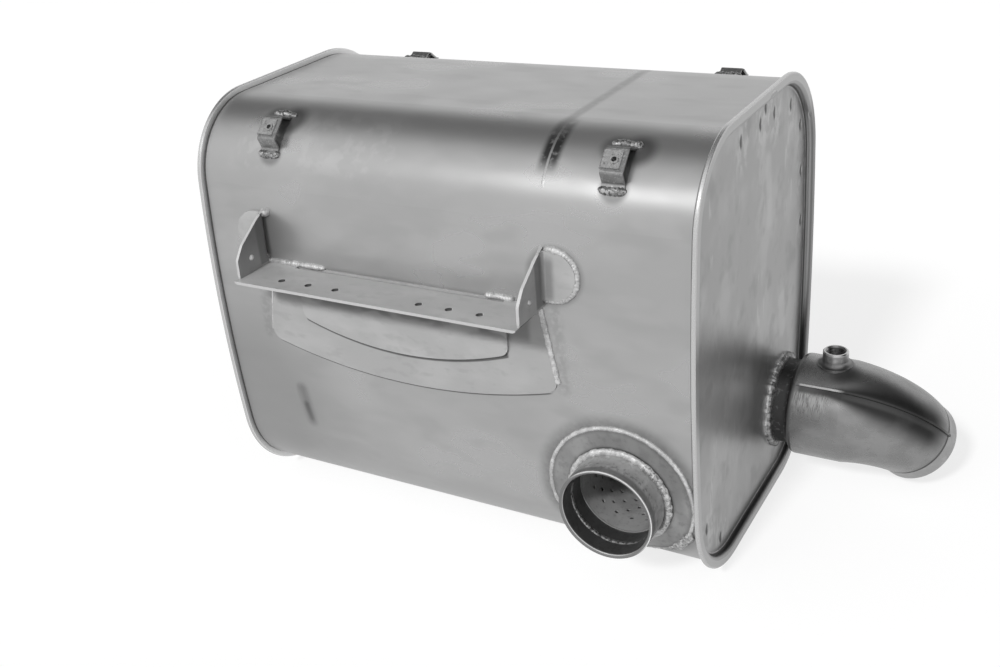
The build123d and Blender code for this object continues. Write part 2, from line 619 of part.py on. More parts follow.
def shelf_and_flange():
    """Middle of the bracket: the shelf and its D-shaped flange, folded down on the doubler."""
    left = BRACKET_X - FLANGE_HALF_WIDTH
    right = BRACKET_X + FLANGE_HALF_WIDTH
    under_z = SHELF_TOP_Z - BRACKET_SHEET
    face = apron_face(
        SHELF_TOP_Z,
        FLANGE_HALF_WIDTH,
        FLANGE_HALF_WIDTH,
        FLANGE_BOTTOM_Z,
        FLANGE_ARC_RADIUS,
        FLANGE_CORNER_RADIUS,
    )
    seat = SHEET
    front = SHEET + BRACKET_SHEET
    flange = body_layer(seat, front, left - PAST, right + PAST) & prism_y(face)
    shelf = bracket_box(left, right, under_z, SHELF_TOP_Z)
    shelf -= body_block(seat, left - PAST, right + PAST)
    middle = shelf + flange
    long_edges = middle.edges().filter_by(Axis.X)
    inner = long_edges.filter_by_position(Axis.Z, under_z, under_z, inclusive=(True, True)).sort_by(Axis.Y)[-1]
    middle = fillet(inner, FLANGE_BEND_RADIUS)
    long_edges = middle.edges().filter_by(Axis.X)
    top = long_edges.filter_by_position(Axis.Z, SHELF_TOP_Z, SHELF_TOP_Z, inclusive=(True, True))
    return fillet(top.sort_by(Axis.Y)[-1], FLANGE_OUTER_RADIUS)


def ear_bend(inner_x):
    """Square corner between ear and foot, and the round bend that takes its place."""
    outer = EAR_BEND_RADIUS + BRACKET_SHEET
    lean = math.asin(FOOT_Z / CROWN_RADIUS)
    axis_y = CROWN_CENTRE - (CROWN_RADIUS + outer - EAR_BEND_SINK) * math.cos(lean)
    axis_z = FOOT_Z + (outer - EAR_BEND_SINK) * math.sin(lean)
    origin = (inner_x + outer, axis_y, axis_z)
    frame = Plane(origin=origin, x_dir=(1, 0, 0), z_dir=(0, math.sin(lean), math.cos(lean)))
    height = 3 * FOOT_RADIUS
    corner = Pos(-outer / 2, outer / 2, 0) * Box(outer, outer, height)
    ring = Cylinder(outer, height) - Cylinder(EAR_BEND_RADIUS, height)
    level = bracket_box(inner_x, inner_x + outer, FOOT_Z - FOOT_RADIUS, FOOT_Z + FOOT_RADIUS)
    placed_corner = (frame.location * corner) & level
    placed_bend = (frame.location * (ring & corner)) & level
    return placed_corner, placed_bend


def shelf_end():
    """Right end of the bracket: end of the shelf, ear and foot."""
    inner_x = BRACKET_X + EAR_FACE_OFFSET
    outer_x = inner_x + BRACKET_SHEET
    under_z = SHELF_TOP_Z - BRACKET_SHEET
    shelf = bracket_box(BRACKET_X + FLANGE_HALF_WIDTH, outer_x, under_z, SHELF_TOP_Z)
    shelf -= body_block(SHEET, BRACKET_X, outer_x + PAST)

    corners = [(SHELF_FRONT_Y + back, under_z + rise) for back, rise in EAR_OUTLINE]
    outline = make_face(Polyline(*corners, close=True))
    bends = outline.vertices().filter_by_position(Axis.X, corners[1][0], corners[2][0])
    outline = fillet(bends, EAR_CORNER_RADIUS)
    ear = extrude(Pos(inner_x, 0, 0) * (Plane.YZ * outline), amount=BRACKET_SHEET, dir=(1, 0, 0))
    lobe_x = BRACKET_X + FOOT_LOBE_OFFSET
    lobe = Pos((inner_x + lobe_x) / 2, FOOT_Z) * Rectangle(lobe_x - inner_x, 2 * FOOT_RADIUS)
    lobe += Pos(lobe_x, FOOT_Z) * Circle(FOOT_RADIUS)
    far_x = lobe_x + FOOT_RADIUS + PAST
    ear += body_layer(0, BRACKET_SHEET, inner_x, far_x) & prism_y(lobe)
    corner, bend = ear_bend(inner_x)
    ear = ear - corner + bend
    ear -= body_block(0, BRACKET_X, outer_x + PAST + EAR_BEND_RADIUS)

    end = shelf + ear
    corner = end.edges().filter_by(Axis.Y)
    corner = corner.filter_by_position(Axis.Z, under_z, under_z, inclusive=(True, True)).sort_by(Axis.X)[-1]
    end = fillet(corner, SHELF_END_RADIUS)
    hole_y = SHELF_FRONT_Y + EAR_HOLE_FROM_EDGE
    hole_z = SHELF_TOP_Z + EAR_HOLE_RISE
    return end - rod_x(EAR_HOLE_DIAMETER / 2, inner_x - PAST, outer_x + PAST, hole_y, hole_z)


def mounting_bracket():
    """Whole bracket, one folded sheet."""
    right = shelf_end()
    left = mirror(right, about=Plane.YZ.offset(BRACKET_X))
    bracket = shelf_and_flange() + right + left
    for group in (-1, 1):
        for hole in range(HOLES_PER_GROUP):
            x = BRACKET_X + group * HOLE_GROUP_OFFSET + (hole - 1) * HOLE_PITCH
            bracket -= Pos(x, HOLE_Y, SHELF_TOP_Z) * Cylinder(HOLE_DIAMETER / 2, 4 * BRACKET_SHEET)
    return bracket


def clip_frame(side_y, radius, angle, x):
    """Frame on a top corner of the shell: z out of it, y up along it."""
    centre_z = HALF_HEIGHT - radius
    reach = math.sqrt((CROWN_RADIUS - radius) ** 2 - centre_z**2)
    centre_y = side_y * (reach - CROWN_CENTRE)
    turn = math.radians(angle)
    out = Vector(0, side_y * math.cos(turn), math.sin(turn))
    origin = Vector(x, centre_y, centre_z) + out * radius
    return Plane(origin=origin, x_dir=(-side_y, 0, 0), z_dir=out)


def strap(radius):
    """Bridge strap in the frame of its clip, on a corner of the given radius."""
    tilt = math.asin(STRAP_FOOT_MIDDLE / radius)
    lift = radius + SHEET / 2
    foot = Vector(lift * math.sin(tilt), lift * math.cos(tilt) - radius)
    along = Vector(math.cos(tilt), -math.sin(tilt)) * STRAP_FOOT_HALF
    top_z = STRAP_HEIGHT - SHEET / 2
    side = [foot + along, foot - along, Vector(STRAP_TOP_HALF, top_z)]
    other = [Vector(-point.X, point.Y) for point in reversed(side)]
    path = FilletPolyline(*side, *other, radius=STRAP_BEND_RADIUS)
    band = trace(path, line_width=SHEET)
    body = extrude(Plane.YZ * band, amount=STRAP_WIDTH / 2, both=True)
    return body - Pos(0, 0, STRAP_HEIGHT) * Cylinder(STRAP_HOLE_RADIUS, 4 * SHEET)


def clip_nut():
    """U-shaped clip nut round the strap, with a threaded collar and a turned-up lower lip."""
    top_z = STRAP_HEIGHT
    low_z = STRAP_HEIGHT - SHEET
    edge_x = -STRAP_WIDTH / 2
    right_x = NUT_SHIFT + NUT_WIDTH / 2
    leaf = Box(right_x - edge_x, NUT_HEIGHT, NUT_SHEET)
    leaf_x = (right_x + edge_x) / 2
    nut = Pos(leaf_x, 0, top_z + NUT_SHEET / 2) * leaf
    nut += Pos(leaf_x, 0, low_z - NUT_SHEET / 2) * leaf
    bend = Rot(90, 0, 0) * Cylinder(SHEET / 2 + NUT_SHEET, NUT_HEIGHT)
    bend -= Rot(90, 0, 0) * Cylinder(SHEET / 2, NUT_HEIGHT)
    bend &= Pos(-STRAP_WIDTH / 2, 0, 0) * Box(STRAP_WIDTH, STRAP_WIDTH, STRAP_WIDTH)
    nut += Pos(edge_x, 0, (top_z + low_z) / 2) * bend
    lip_y = -NUT_HEIGHT / 2 + NUT_SHEET / 2
    lip = Box(right_x - edge_x, NUT_SHEET, NUT_LIP)
    nut += Pos(leaf_x, lip_y, top_z + NUT_SHEET + NUT_LIP / 2) * lip
    collar_top = top_z + NUT_SHEET + NUT_COLLAR_RISE
    collar_low = low_z - NUT_SHEET - NUT_COLLAR_DROP
    height = collar_top - collar_low
    middle_z = (collar_top + collar_low) / 2
    nut += Pos(0, 0, middle_z) * Cylinder(NUT_COLLAR_RADIUS, height)
    return nut - Pos(0, 0, middle_z) * Cylinder(NUT_BORE_RADIUS, height + PAST)


def write_node(name, solids):
    """Moves a piece into the frame of the part and writes it."""
    to_mouth = Pos(-INLET_X, -INLET_MOUTH_Y, -INLET_Z)
    placed = [to_mouth * solid for solid in solids]
    shape = placed[0] if len(placed) == 1 else Compound(children=placed)
    export_step(shape, "parts/" + name + ".step")


def main():
    """Builds and writes every piece."""
    os.makedirs("parts", exist_ok=True)
    right_plate = end_plate()
    right_inner = inner_plate()
    strap_places = {
        "strap_front_left": (FRONT, FRONT_TOP_RADIUS, STRAP_FRONT_ANGLE, STRAP_FRONT_LEFT_X),
        "strap_front_right": (FRONT, FRONT_TOP_RADIUS, STRAP_FRONT_ANGLE, STRAP_FRONT_RIGHT_X),
        "strap_rear_left": (REAR, REAR_TOP_RADIUS, STRAP_REAR_ANGLE, STRAP_REAR_LEFT_X),
        "strap_rear_right": (REAR, REAR_TOP_RADIUS, STRAP_REAR_ANGLE, STRAP_REAR_RIGHT_X),
    }
    pieces = {
        "shell": shell(),
        "end_plate_left": mirror(right_plate, about=Plane.YZ),
        "end_plate_right": right_plate - outlet_opening(),
        "inner_plate_left": mirror(right_inner, about=Plane.YZ),
        "inner_plate_right": right_inner - outlet_opening(),
        "baffle_left": baffle(BAFFLE_LEFT_X, -1),
        "baffle_right": baffle(BAFFLE_RIGHT_X, 1),
        "transfer_tube_upper": transfer_tube(TRANSFER_UPPER_YZ),
        "transfer_tube_lower": transfer_tube(TRANSFER_LOWER_YZ),
        "outlet_tube": outlet_tube(),
        "wool_sleeve": wool_part(WOOL_RADIUS, WOOL_RADIUS - OUTLET_RADIUS),
        "wool_can": wool_part(WOOL_RADIUS + CAN_SHEET, CAN_SHEET),
        "inlet_doubler": inlet_doubler(),
        "inlet_pipe": inlet_pipe(),
        "inlet_diffuser": inlet_diffuser(),
        "diffuser_cap": diffuser_cap(),
        "outlet_elbow_front": outlet_elbow_front(),
        "outlet_elbow_rear": outlet_elbow_rear(),
        "outlet_sleeve": outlet_sleeve(),
        "sensor_boss": sensor_boss(),
        "bracket_doubler": bracket_doubler(),
        "mounting_bracket": mounting_bracket(),
    }
    nuts = []
    for name, place in strap_places.items():
        frame = clip_frame(*place)
        pieces[name] = frame.location * strap(place[1])
        nuts.append(frame.location * clip_nut())
    for name, piece in pieces.items():
        write_node(name, [piece])
    write_node("clip_nuts", nuts)


main()
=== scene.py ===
import math

import bmesh
import bpy
from mathutils import Matrix, Vector, noise
from mathutils.bvhtree import BVHTree


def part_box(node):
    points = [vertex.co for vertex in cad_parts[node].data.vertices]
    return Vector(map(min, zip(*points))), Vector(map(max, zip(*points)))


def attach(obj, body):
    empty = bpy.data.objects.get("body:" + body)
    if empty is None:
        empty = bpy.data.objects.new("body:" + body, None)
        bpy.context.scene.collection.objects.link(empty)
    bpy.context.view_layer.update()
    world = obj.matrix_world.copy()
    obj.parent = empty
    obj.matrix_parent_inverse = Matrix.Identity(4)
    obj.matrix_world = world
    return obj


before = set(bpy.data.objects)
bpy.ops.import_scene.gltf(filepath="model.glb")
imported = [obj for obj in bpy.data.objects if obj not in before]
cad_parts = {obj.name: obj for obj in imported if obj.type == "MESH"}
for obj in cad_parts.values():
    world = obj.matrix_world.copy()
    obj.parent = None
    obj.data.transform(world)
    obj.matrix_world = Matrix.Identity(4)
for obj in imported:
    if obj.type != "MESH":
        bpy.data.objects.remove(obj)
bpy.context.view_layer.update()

# Shell: one sheet of coated steel, rolled into a crowned box and locked to the end plates.
# It keeps the marks of its making: soft oil canning, a dull bloom from handling, dark
# heat marks round every weld and over the edge of the inner baffle.
BODY_MIDDLE = Vector((-258.2, 274.3, 158.2))  # in mm, from the middle of the inlet mouth


def at(x, y, z):
    """Point in the row frame, from millimetres off the middle of the body."""
    return (Vector((x, y, z)) + BODY_MIDDLE) / 1000


def add_node(tree, kind, inputs=(), **settings):
    """Shader node with its settings, and a value or a link for each of its first inputs."""
    made = tree.nodes.new("ShaderNode" + kind)
    for key, value in settings.items():
        setattr(made, key, value)
    for socket, value in zip(made.inputs, inputs):
        if isinstance(value, bpy.types.NodeSocket):
            tree.links.new(value, socket)
        elif value is not None:
            socket.default_value = value
    return made


def smooth_step(tree, value, start, end, low, high):
    """Smooth change from low to high as the value goes from start to end."""
    limits = [value, start, end, low, high]
    return add_node(tree, "MapRange", limits, interpolation_type="SMOOTHSTEP").outputs["Result"]


class Finish:
    """A metal surface: one grey, roughness and height, which its marks change one by one."""

    def __init__(self, name, grey, roughness, metallic=1.0):
        self.material = bpy.data.materials.new(name)
        self.material.use_nodes = True
        self.tree = self.material.node_tree
        self.shader = self.tree.nodes["Principled BSDF"]
        self.shader.inputs["Metallic"].default_value = metallic
        self.grey = grey
        self.roughness = roughness
        self.height = None
        local = self.node("TexCoord").outputs["Object"]
        scaled = self.node("VectorMath", [local, (1000, 1000, 1000)], operation="MULTIPLY").outputs[0]
        self.place = self.node("VectorMath", [scaled, -BODY_MIDDLE], operation="ADD").outputs[0]

    def node(self, kind, inputs=(), **settings):
        return add_node(self.tree, kind, inputs, **settings)

    def clamped(self, kind, one, other):
        return self.node("Math", [one, other], operation=kind, use_clamp=True).outputs[0]

    def both(self, *masks):
        """Mask of what lies under the first mask and under each other one."""
        result = masks[-1]
        for mask in reversed(masks[:-1]):
            result = self.clamped("MULTIPLY", mask, result)
        return result

    def either(self, one, other):
        return self.clamped("MAXIMUM", one, other)

    def step(self, value, start, end, low=0.0, high=1.0):
        return smooth_step(self.tree, value, start, end, low, high)

    def fade(self, value, start, end):
        """Mask that is full up to start and empty from end on."""
        return self.step(value, start, end, 1.0, 0.0)

    def far(self, value):
        """Distance of a value from zero, on either side."""
        return self.node("Math", [value], operation="ABSOLUTE").outputs[0]

    def dot(self, place, way):
        """How far a place lies along a direction."""
        return self.node("VectorMath", [place, way], operation="DOT_PRODUCT").outputs["Value"]

    def cloud(self, size, stretch=(1, 1, 1), detail=4.0, shift=0.0):
        """Uneven patches about size mm across, drawn out along each axis by stretch."""
        scale = Vector([1 / (size * reach) for reach in stretch])
        place = self.node("VectorMath", [self.place, scale], operation="MULTIPLY").outputs[0]
        place = self.node("VectorMath", [place, (shift, shift, shift)], operation="ADD").outputs[0]
        made = self.node("TexNoise")
        self.tree.links.new(place, made.inputs["Vector"])
        made.inputs["Scale"].default_value = 1.0
        made.inputs["Detail"].default_value = detail
        return made.outputs["Fac"]

    def axis(self, name):
        return self.node("SeparateXYZ", [self.place]).outputs[name]

    def facing(self, name):
        return self.node("SeparateXYZ", [self.node("NewGeometry").outputs["Normal"]]).outputs[name]

    def between(self, name, low, high, soft):
        """Mask of the part of the surface that lies between two places along an axis."""
        along = self.axis(name)
        rise = self.step(along, low - soft, low)
        fall = self.fade(along, high, high + soft)
        return self.both(rise, fall)

    def spot(self, centre, radius, soft, stretch=(1, 1, 1)):
        """Mask of a round or oval spot."""
        scale = Vector([1 / reach for reach in stretch])
        place = self.node("VectorMath", [self.place, scale], operation="MULTIPLY").outputs[0]
        middle = Vector([across * share for across, share in zip(centre, scale)])
        away = self.node("VectorMath", [place, middle], operation="DISTANCE").outputs["Value"]
        return self.fade(away, radius, radius + soft)

    def line(self, start, end, reach, soft):
        """Mask of everything near a straight line."""
        start, end = Vector(start), Vector(end)
        course = end - start
        off = self.node("VectorMath", [self.place, start], operation="SUBTRACT").outputs[0]
        share = self.clamped("MAXIMUM", self.dot(off, course / course.length_squared), 0.0)
        made = self.node("VectorMath", [course], operation="SCALE")
        self.tree.links.new(share, made.inputs["Scale"])
        away = self.node("VectorMath", [off, made.outputs[0]], operation="DISTANCE").outputs["Value"]
        return self.fade(away, reach, reach + soft)

    def round_axis(self, name, centre):
        """Distance from an axis that runs along X, Y or Z through a point."""
        keep = Vector([0.0 if letter == name else 1.0 for letter in "XYZ"])
        off = self.node("VectorMath", [self.place, Vector(centre)], operation="SUBTRACT").outputs[0]
        flat = self.node("VectorMath", [off, keep], operation="MULTIPLY").outputs[0]
        return self.node("VectorMath", [flat], operation="LENGTH").outputs["Value"]

    def mix(self, value, new, mask):
        return self.node("Mix", [mask, None, value, new], data_type="FLOAT").outputs[0]

    def mark(self, mask, grey, roughness=None, strength=1.0):
        """Lays another grey over the surface where the mask is, and its roughness with it."""
        if strength < 1.0:
            mask = self.both(mask, strength)
        self.grey = self.mix(self.grey, grey, mask)
        if roughness is not None:
            self.roughness = self.mix(self.roughness, roughness, mask)

    def relief(self, height, depth):
        """Adds a height in mm to the surface."""
        part = self.node("Math", [height, depth / 1000], operation="MULTIPLY").outputs[0]
        if self.height is not None:
            part = self.node("Math", [self.height, part], operation="ADD").outputs[0]
        self.height = part

    def done(self):
        colour = self.node("CombineColor", [self.grey, self.grey, self.grey])
        self.tree.links.new(colour.outputs[0], self.shader.inputs["Base Color"])
        if isinstance(self.roughness, bpy.types.NodeSocket):
            self.tree.links.new(self.roughness, self.shader.inputs["Roughness"])
        else:
            self.shader.inputs["Roughness"].default_value = self.roughness
        if self.height is not None:
            bump = self.node("Bump")
            bump.inputs["Strength"].default_value = 1.0
            bump.inputs["Distance"].default_value = 1.0
            self.tree.links.new(self.height, bump.inputs["Height"])
            self.tree.links.new(bump.outputs["Normal"], self.shader.inputs["Normal"])
        return self.material


def dress(node_names, material):
    for name in node_names:
        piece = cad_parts[name]
        piece.data.materials.clear()
        piece.data.materials.append(material)


wrap = Finish("coated_wrap", 0.45, 0.29, 0.8)
wrap.mark(wrap.step(wrap.cloud(95, (1.8, 1, 1), 2.0), 0.42, 0.66), 0.49, 0.27)
wrap.mark(wrap.step(wrap.cloud(34, (2.2, 1, 1), 1.5, 7), 0.5, 0.72), 0.42, 0.33, 0.6)
wrap.mark(wrap.step(wrap.cloud(20, (3, 1, 1), 1.0, 3), 0.5, 0.75), 0.49, None, 0.4)
wrap.mark(wrap.spot((-330, -228, -130), 60, 150), 0.33, 0.36, 0.8)
front = wrap.fade(wrap.facing("Y"), 0.1, 0.3)
handled = wrap.both(wrap.between("X", -285, -70, 40), wrap.between("Z", 232, 284, 12))
handled = wrap.both(handled, wrap.step(wrap.cloud(20, shift=17), 0.48, 0.62))
wrap.mark(wrap.both(handled, front), 0.58, 0.36, 0.3)

# Heat mark along the edge of the baffle: ragged dark tints with a thin bright line in them
# on the bend, and a soft grey band over the top.
ragged = wrap.cloud(8, shift=2)
smoky = wrap.both(wrap.between("X", 160, 174, 10), wrap.between("Z", 272, 300, 22))
smoky = wrap.both(smoky, wrap.fade(wrap.axis("Y"), -168, -112))
wrap.mark(wrap.both(smoky, wrap.step(ragged, 0.28, 0.5, 0.45, 1.0)), 0.03, 0.42, 0.95)
over_top = wrap.both(wrap.between("X", 163, 167, 9), wrap.step(wrap.axis("Z"), 280, 294))
wrap.mark(wrap.both(over_top, wrap.step(ragged, 0.2, 0.6, 0.6, 1.0)), 0.24, 0.34, 0.6)
ridge = wrap.both(wrap.between("X", 165.2, 167.0, 1.2), wrap.between("Z", 252, 284, 14), front)
wrap.mark(ridge, 0.50, 0.25, 0.7)
wrap.relief(ridge, 0.25)

# Painted shade of a dent low on the left: two dark streaks stand in for the shading in the dent, which
# has no shape of its own here.
wrap.mark(wrap.line((-243, -228, -104), (-237, -228, -158), 1, 14), 0.17, 0.42, 0.6)
wrap.mark(wrap.line((-241, -228, -130), (-237, -228, -154), 0.5, 8), 0.07, 0.45, 0.6)

# Heat round the straps, the right bracket foot, the inlet plate and the bracket welds, and a painted
# shadow under the left end of the shelf.
uneven = wrap.cloud(7, shift=11)
for x in (-244, 257):
    wrap.mark(wrap.spot((x + 16, -172, 286), 13, 18), 0.07, 0.42, 0.75)
    wrap.mark(wrap.spot((x - 12, -172, 286), 13, 12), 0.10, 0.42, 0.6)
    wrap.mark(wrap.spot((x, -211, 249), 14, 9), 0.10, 0.42, 0.55)
BRACKET_X = -46.5
wrap.mark(wrap.spot((BRACKET_X + 230, -226, 136), 33, 10), 0.24, 0.42, 0.6)
wrap.mark(wrap.spot((BRACKET_X - 217, -226, 136), 20, 24), 0.34, 0.38, 0.4)
# Painted shadow: the shell below the left end of the bracket shelf is darkened where the shelf's shadow
# falls.
shelf_shadow_left = wrap.between("X", BRACKET_X - 222, BRACKET_X - 190, 12)
shelf_shadow_left = wrap.both(shelf_shadow_left, wrap.between("Z", 42, 66, 8))
wrap.mark(wrap.both(shelf_shadow_left, front), 0.20, 0.45, 0.6)
INLET_AXIS = (258.2, 0, -158.2)
inlet_away = wrap.round_axis("Y", INLET_AXIS)
halo = wrap.fade(inlet_away, 100, 124)
halo = wrap.both(halo, wrap.fade(wrap.axis("Y"), -150, -130))
wrap.mark(wrap.both(halo, wrap.step(uneven, 0.25, 0.7, 0.7, 1.0)), 0.17, 0.40, 0.7)
for x in (-275, 182):
    lower = wrap.line((x, -228, 90), (x + (8 if x > 0 else -8), -230, -16), 2, 13)
    wrap.mark(wrap.both(lower, wrap.step(uneven, 0.3, 0.6)), 0.28, 0.40, 0.4)

# Dark lines of shadow and dirt where the rims and the edge of the bracket doubler lie on.
wrap.mark(wrap.step(wrap.far(wrap.axis("X")), 355.6, 356.4), 0.06, 0.5, 0.85)
DOUBLER_ARC_Z = 735.5
arc_away = wrap.round_axis("Y", (BRACKET_X, 0, DOUBLER_ARC_Z))
arc_line = wrap.both(wrap.step(arc_away, 789.0, 789.8), wrap.fade(arc_away, 792.0, 793.6))
arc_line = wrap.both(arc_line, wrap.between("X", BRACKET_X - 212, BRACKET_X + 212, 8))
wrap.mark(wrap.both(arc_line, front), 0.09, 0.5, 0.8)

# Slow waviness of the sheet, which bends its reflections.
wrap.relief(wrap.cloud(130, detail=1.0, shift=9), 1.2)
dress(["shell"], wrap.done())

# End plates: pressed from sheet, with a deep rim rolled over the shell. They are blotched
# grey, with smears where cleaner ran down them and dark rings at the spot welds.
SPOT_WELDS = [
    (-57, 263), (15, 263), (35, 279), (70, 262), (140, 253),
    (186, 212), (195, 144), (202, 67), (-176, -218), (-125, -265),
]
plate = Finish("pressed_end_plate", 0.40, 0.31, 0.8)
end_away = plate.far(plate.axis("X"))
recess = plate.fade(end_away, 355.5, 357)
light = plate.step(plate.cloud(70, (1, 1, 1.3), 3.0), 0.42, 0.64)
plate.mark(plate.both(recess, light), 0.48, 0.28, 0.8)
dark = plate.step(plate.cloud(34, (1, 1, 1.2), 2.5, 6), 0.52, 0.74)
plate.mark(plate.both(recess, dark), 0.31, 0.38, 0.55)
smears = plate.both(recess, plate.step(plate.cloud(10, (1, 1, 4.5), shift=3), 0.56, 0.68))
smeared = plate.step(plate.cloud(90, (1, 1, 2), shift=8), 0.5, 0.62)
plate.mark(plate.both(smears, smeared), 0.58, 0.28, 0.6)
small = plate.step(plate.cloud(13, (1, 1, 1.6), 2.5, 13), 0.6, 0.72)
plate.mark(plate.both(recess, small), 0.36, 0.36, 0.4)
flaky = plate.cloud(11, (1, 1, 1.5), shift=31)
ALONG_X = 1e6  # stretch of a spot that shows on both end plates
for y, z in SPOT_WELDS:
    round_weld = plate.spot((0, y + 6, z - 6), 12, 22, (ALONG_X, 1, 1.5))
    round_weld = plate.both(recess, round_weld, plate.step(flaky, 0.42, 0.62))
    plate.mark(round_weld, 0.60, 0.30, 0.65)
    weld_pit = plate.spot((0, y, z), 2.6, 2.4, (ALONG_X, 1, 2.4))
    plate.mark(plate.both(recess, weld_pit), 0.07, 0.5, 0.85)
PLATE_X = 355
for start, end, reach in (
    ((50, 205), (58, 120), 5),
    ((-20, -40), (-10, -130), 9),
    ((120, -20), (128, -70), 7),
):
    streak = plate.line((PLATE_X, *start), (PLATE_X, *end), reach, 12)
    plate.mark(plate.both(recess, streak), 0.56, 0.28, 0.5)
plate.mark(plate.step(plate.cloud(1.8, shift=21), 0.5, 0.75), 0.36, None, 0.2)

# The rolled rim is lighter outside, partly rubbed metal and partly a painted highlight, and dark with
# painted shadow at the foot of the recess.
flat_place = plate.node("VectorMath", [plate.place, (0, 1, 1)], operation="MULTIPLY").outputs[0]
outward = plate.dot(flat_place, plate.node("NewGeometry").outputs["Normal"])
outside = plate.step(outward, -3, 3)
wall = plate.both(plate.step(end_away, 355.2, 355.9), plate.fade(outward, -40, -5))
foot = plate.fade(end_away, 356.5, 358.5)
low_wall = plate.both(plate.fade(end_away, 360, 364), plate.fade(plate.axis("Z"), -120, -60))
foot = plate.either(foot, low_wall)
shaded = plate.either(plate.step(plate.axis("Y"), 102, 135), plate.fade(plate.axis("Z"), 225, 255))
plate.mark(plate.both(wall, foot, shaded), 0.05, 0.5, 0.92)
# Lighter outside of the rim: rubbed metal with a painted highlight.
plate.mark(plate.both(outside, plate.step(end_away, 355, 357)), 0.66, 0.24, 0.85)
# Painted shade on the far side of the rim, at the back.
far_rim_shade = plate.both(plate.step(plate.axis("Y"), 190, 215), plate.step(end_away, 362, 363.5))
plate.mark(far_rim_shade, 0.18, 0.32, 0.85)
# Painted reflection: the inner side of the left rim is made nearly white.
rim_back_highlight = plate.both(plate.fade(plate.axis("X"), -300, -250), plate.step(plate.facing("X"), 0.5, 0.8))
plate.mark(rim_back_highlight, 0.95, 0.45, 0.9)
plate.relief(plate.cloud(85, detail=1.0, shift=4), 0.9)
plate.relief(plate.cloud(4, (1, 1, 3), shift=5), 0.015)
plate_metal = plate.done()
dress(["end_plate_left", "end_plate_right"], plate_metal)

# Each rim runs on whole over the top spot weld: a short strip of it, just under its face,
# lip and foot, lies where the round foot of that weld meets the rim.
CROWN_RADIUS = 2280  # this and the lengths below are in mm
HALF_HEIGHT = 298
RECESS_INSET = 8
STRIP_FACE = 364.97
LIP_CENTRE = (360, 5)
LIP_TURN = 4.97
FOOT_CENTRE = (359, -4)
FOOT_TURN = 4.03
STRIP_MIDDLE = 35
STRIP_REACH = 20
STRIP_ROWS = 33


def solid_piece(name, mesh):
    """Puts a closed mesh into the scene, with its normals turned outward."""
    bmesh.ops.recalc_face_normals(mesh, faces=mesh.faces)
    data = bpy.data.meshes.new(name)
    mesh.to_mesh(data)
    mesh.free()
    data.shade_smooth()
    piece = bpy.data.objects.new(name, data)
    bpy.context.scene.collection.objects.link(piece)
    return piece


strip_form = [(STRIP_FACE, 13.0), (STRIP_FACE, 9.0), (STRIP_FACE, 5.0)]
for share in range(1, 10):
    angle = math.radians(10 * share)
    x = LIP_CENTRE[0] + LIP_TURN * math.cos(angle)
    strip_form.append((x, LIP_CENTRE[1] - LIP_TURN * math.sin(angle)))
for share in range(0, 10):
    angle = math.radians(10 * share)
    x = FOOT_CENTRE[0] - FOOT_TURN * math.sin(angle)
    strip_form.append((x, FOOT_CENTRE[1] + FOOT_TURN * math.cos(angle)))
strip_form += [(353.9, -4.0), (355.4, -0.4), (359, 1.0), (361.5, 1.9), (363.97, 5.0), (363.97, 13.0)]
for side, name in ((-1, "rim_strip_left"), (1, "rim_strip_right")):
    mesh = bmesh.new()
    rows = []
    for row in range(STRIP_ROWS):
        y = STRIP_MIDDLE + STRIP_REACH * (2 * row / (STRIP_ROWS - 1) - 1)
        inner_z = math.sqrt((CROWN_RADIUS - RECESS_INSET) ** 2 - y**2) - (CROWN_RADIUS - HALF_HEIGHT)
        rows.append([mesh.verts.new(at(side * x, y, inner_z + rise)) for x, rise in strip_form])
    for here, there in zip(rows, rows[1:]):
        for edge, corner in enumerate(here):
            following = (edge + 1) % len(here)
            mesh.faces.new((corner, here[following], there[following], there[edge]))
    mesh.faces.new(rows[0])
    mesh.faces.new(rows[-1])
    strip = solid_piece(name, mesh)
    strip.data.materials.append(plate_metal)
    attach(strip, "root")

# Hidden plates, tubes and wool: mill finish steel sheet and a pack of mineral wool, which
# only the cut ends and the openings could show.
mill = Finish("mill_steel", 0.38, 0.45, 0.8)
mill.mark(mill.step(mill.cloud(26, (1, 2, 1)), 0.4, 0.7), 0.27, 0.5)
mill.mark(mill.step(mill.cloud(1.4, (1, 12, 1), shift=2), 0.45, 0.7), 0.40, None, 0.4)
mill.relief(mill.cloud(3, shift=4), 0.03)
dress(
    ["inner_plate_left", "inner_plate_right", "baffle_left", "baffle_right",
     "transfer_tube_upper", "transfer_tube_lower", "outlet_tube", "wool_can", "diffuser_cap"],
    mill.done(),
)
wool = Finish("mineral_wool", 0.42, 0.95, 0.0)
wool.mark(wool.step(wool.cloud(2.5, (6, 1, 1)), 0.4, 0.65), 0.26)
wool.mark(wool.step(wool.cloud(9, shift=3), 0.45, 0.7), 0.5, None, 0.6)
wool.relief(wool.cloud(1.5, (5, 1, 1), shift=4), 0.9)
dress(["wool_sleeve"], wool.done())

# Inlet: a doubler plate with a raised collar, welded on the lower right of the front. The
# pipe is welded into the collar, and a perforated tube of dull steel starts inside it.
inlet = Finish("inlet_plate", 0.30, 0.40, 0.75)
inlet_away = inlet.round_axis("Y", INLET_AXIS)
inlet.mark(inlet.step(inlet.cloud(22, (1, 1, 1.5)), 0.4, 0.66), 0.36, 0.38)
inlet.mark(inlet.step(inlet.cloud(8, shift=3), 0.5, 0.7), 0.22, 0.46, 0.5)
on_collar = inlet.fade(inlet_away, 68.3, 69)
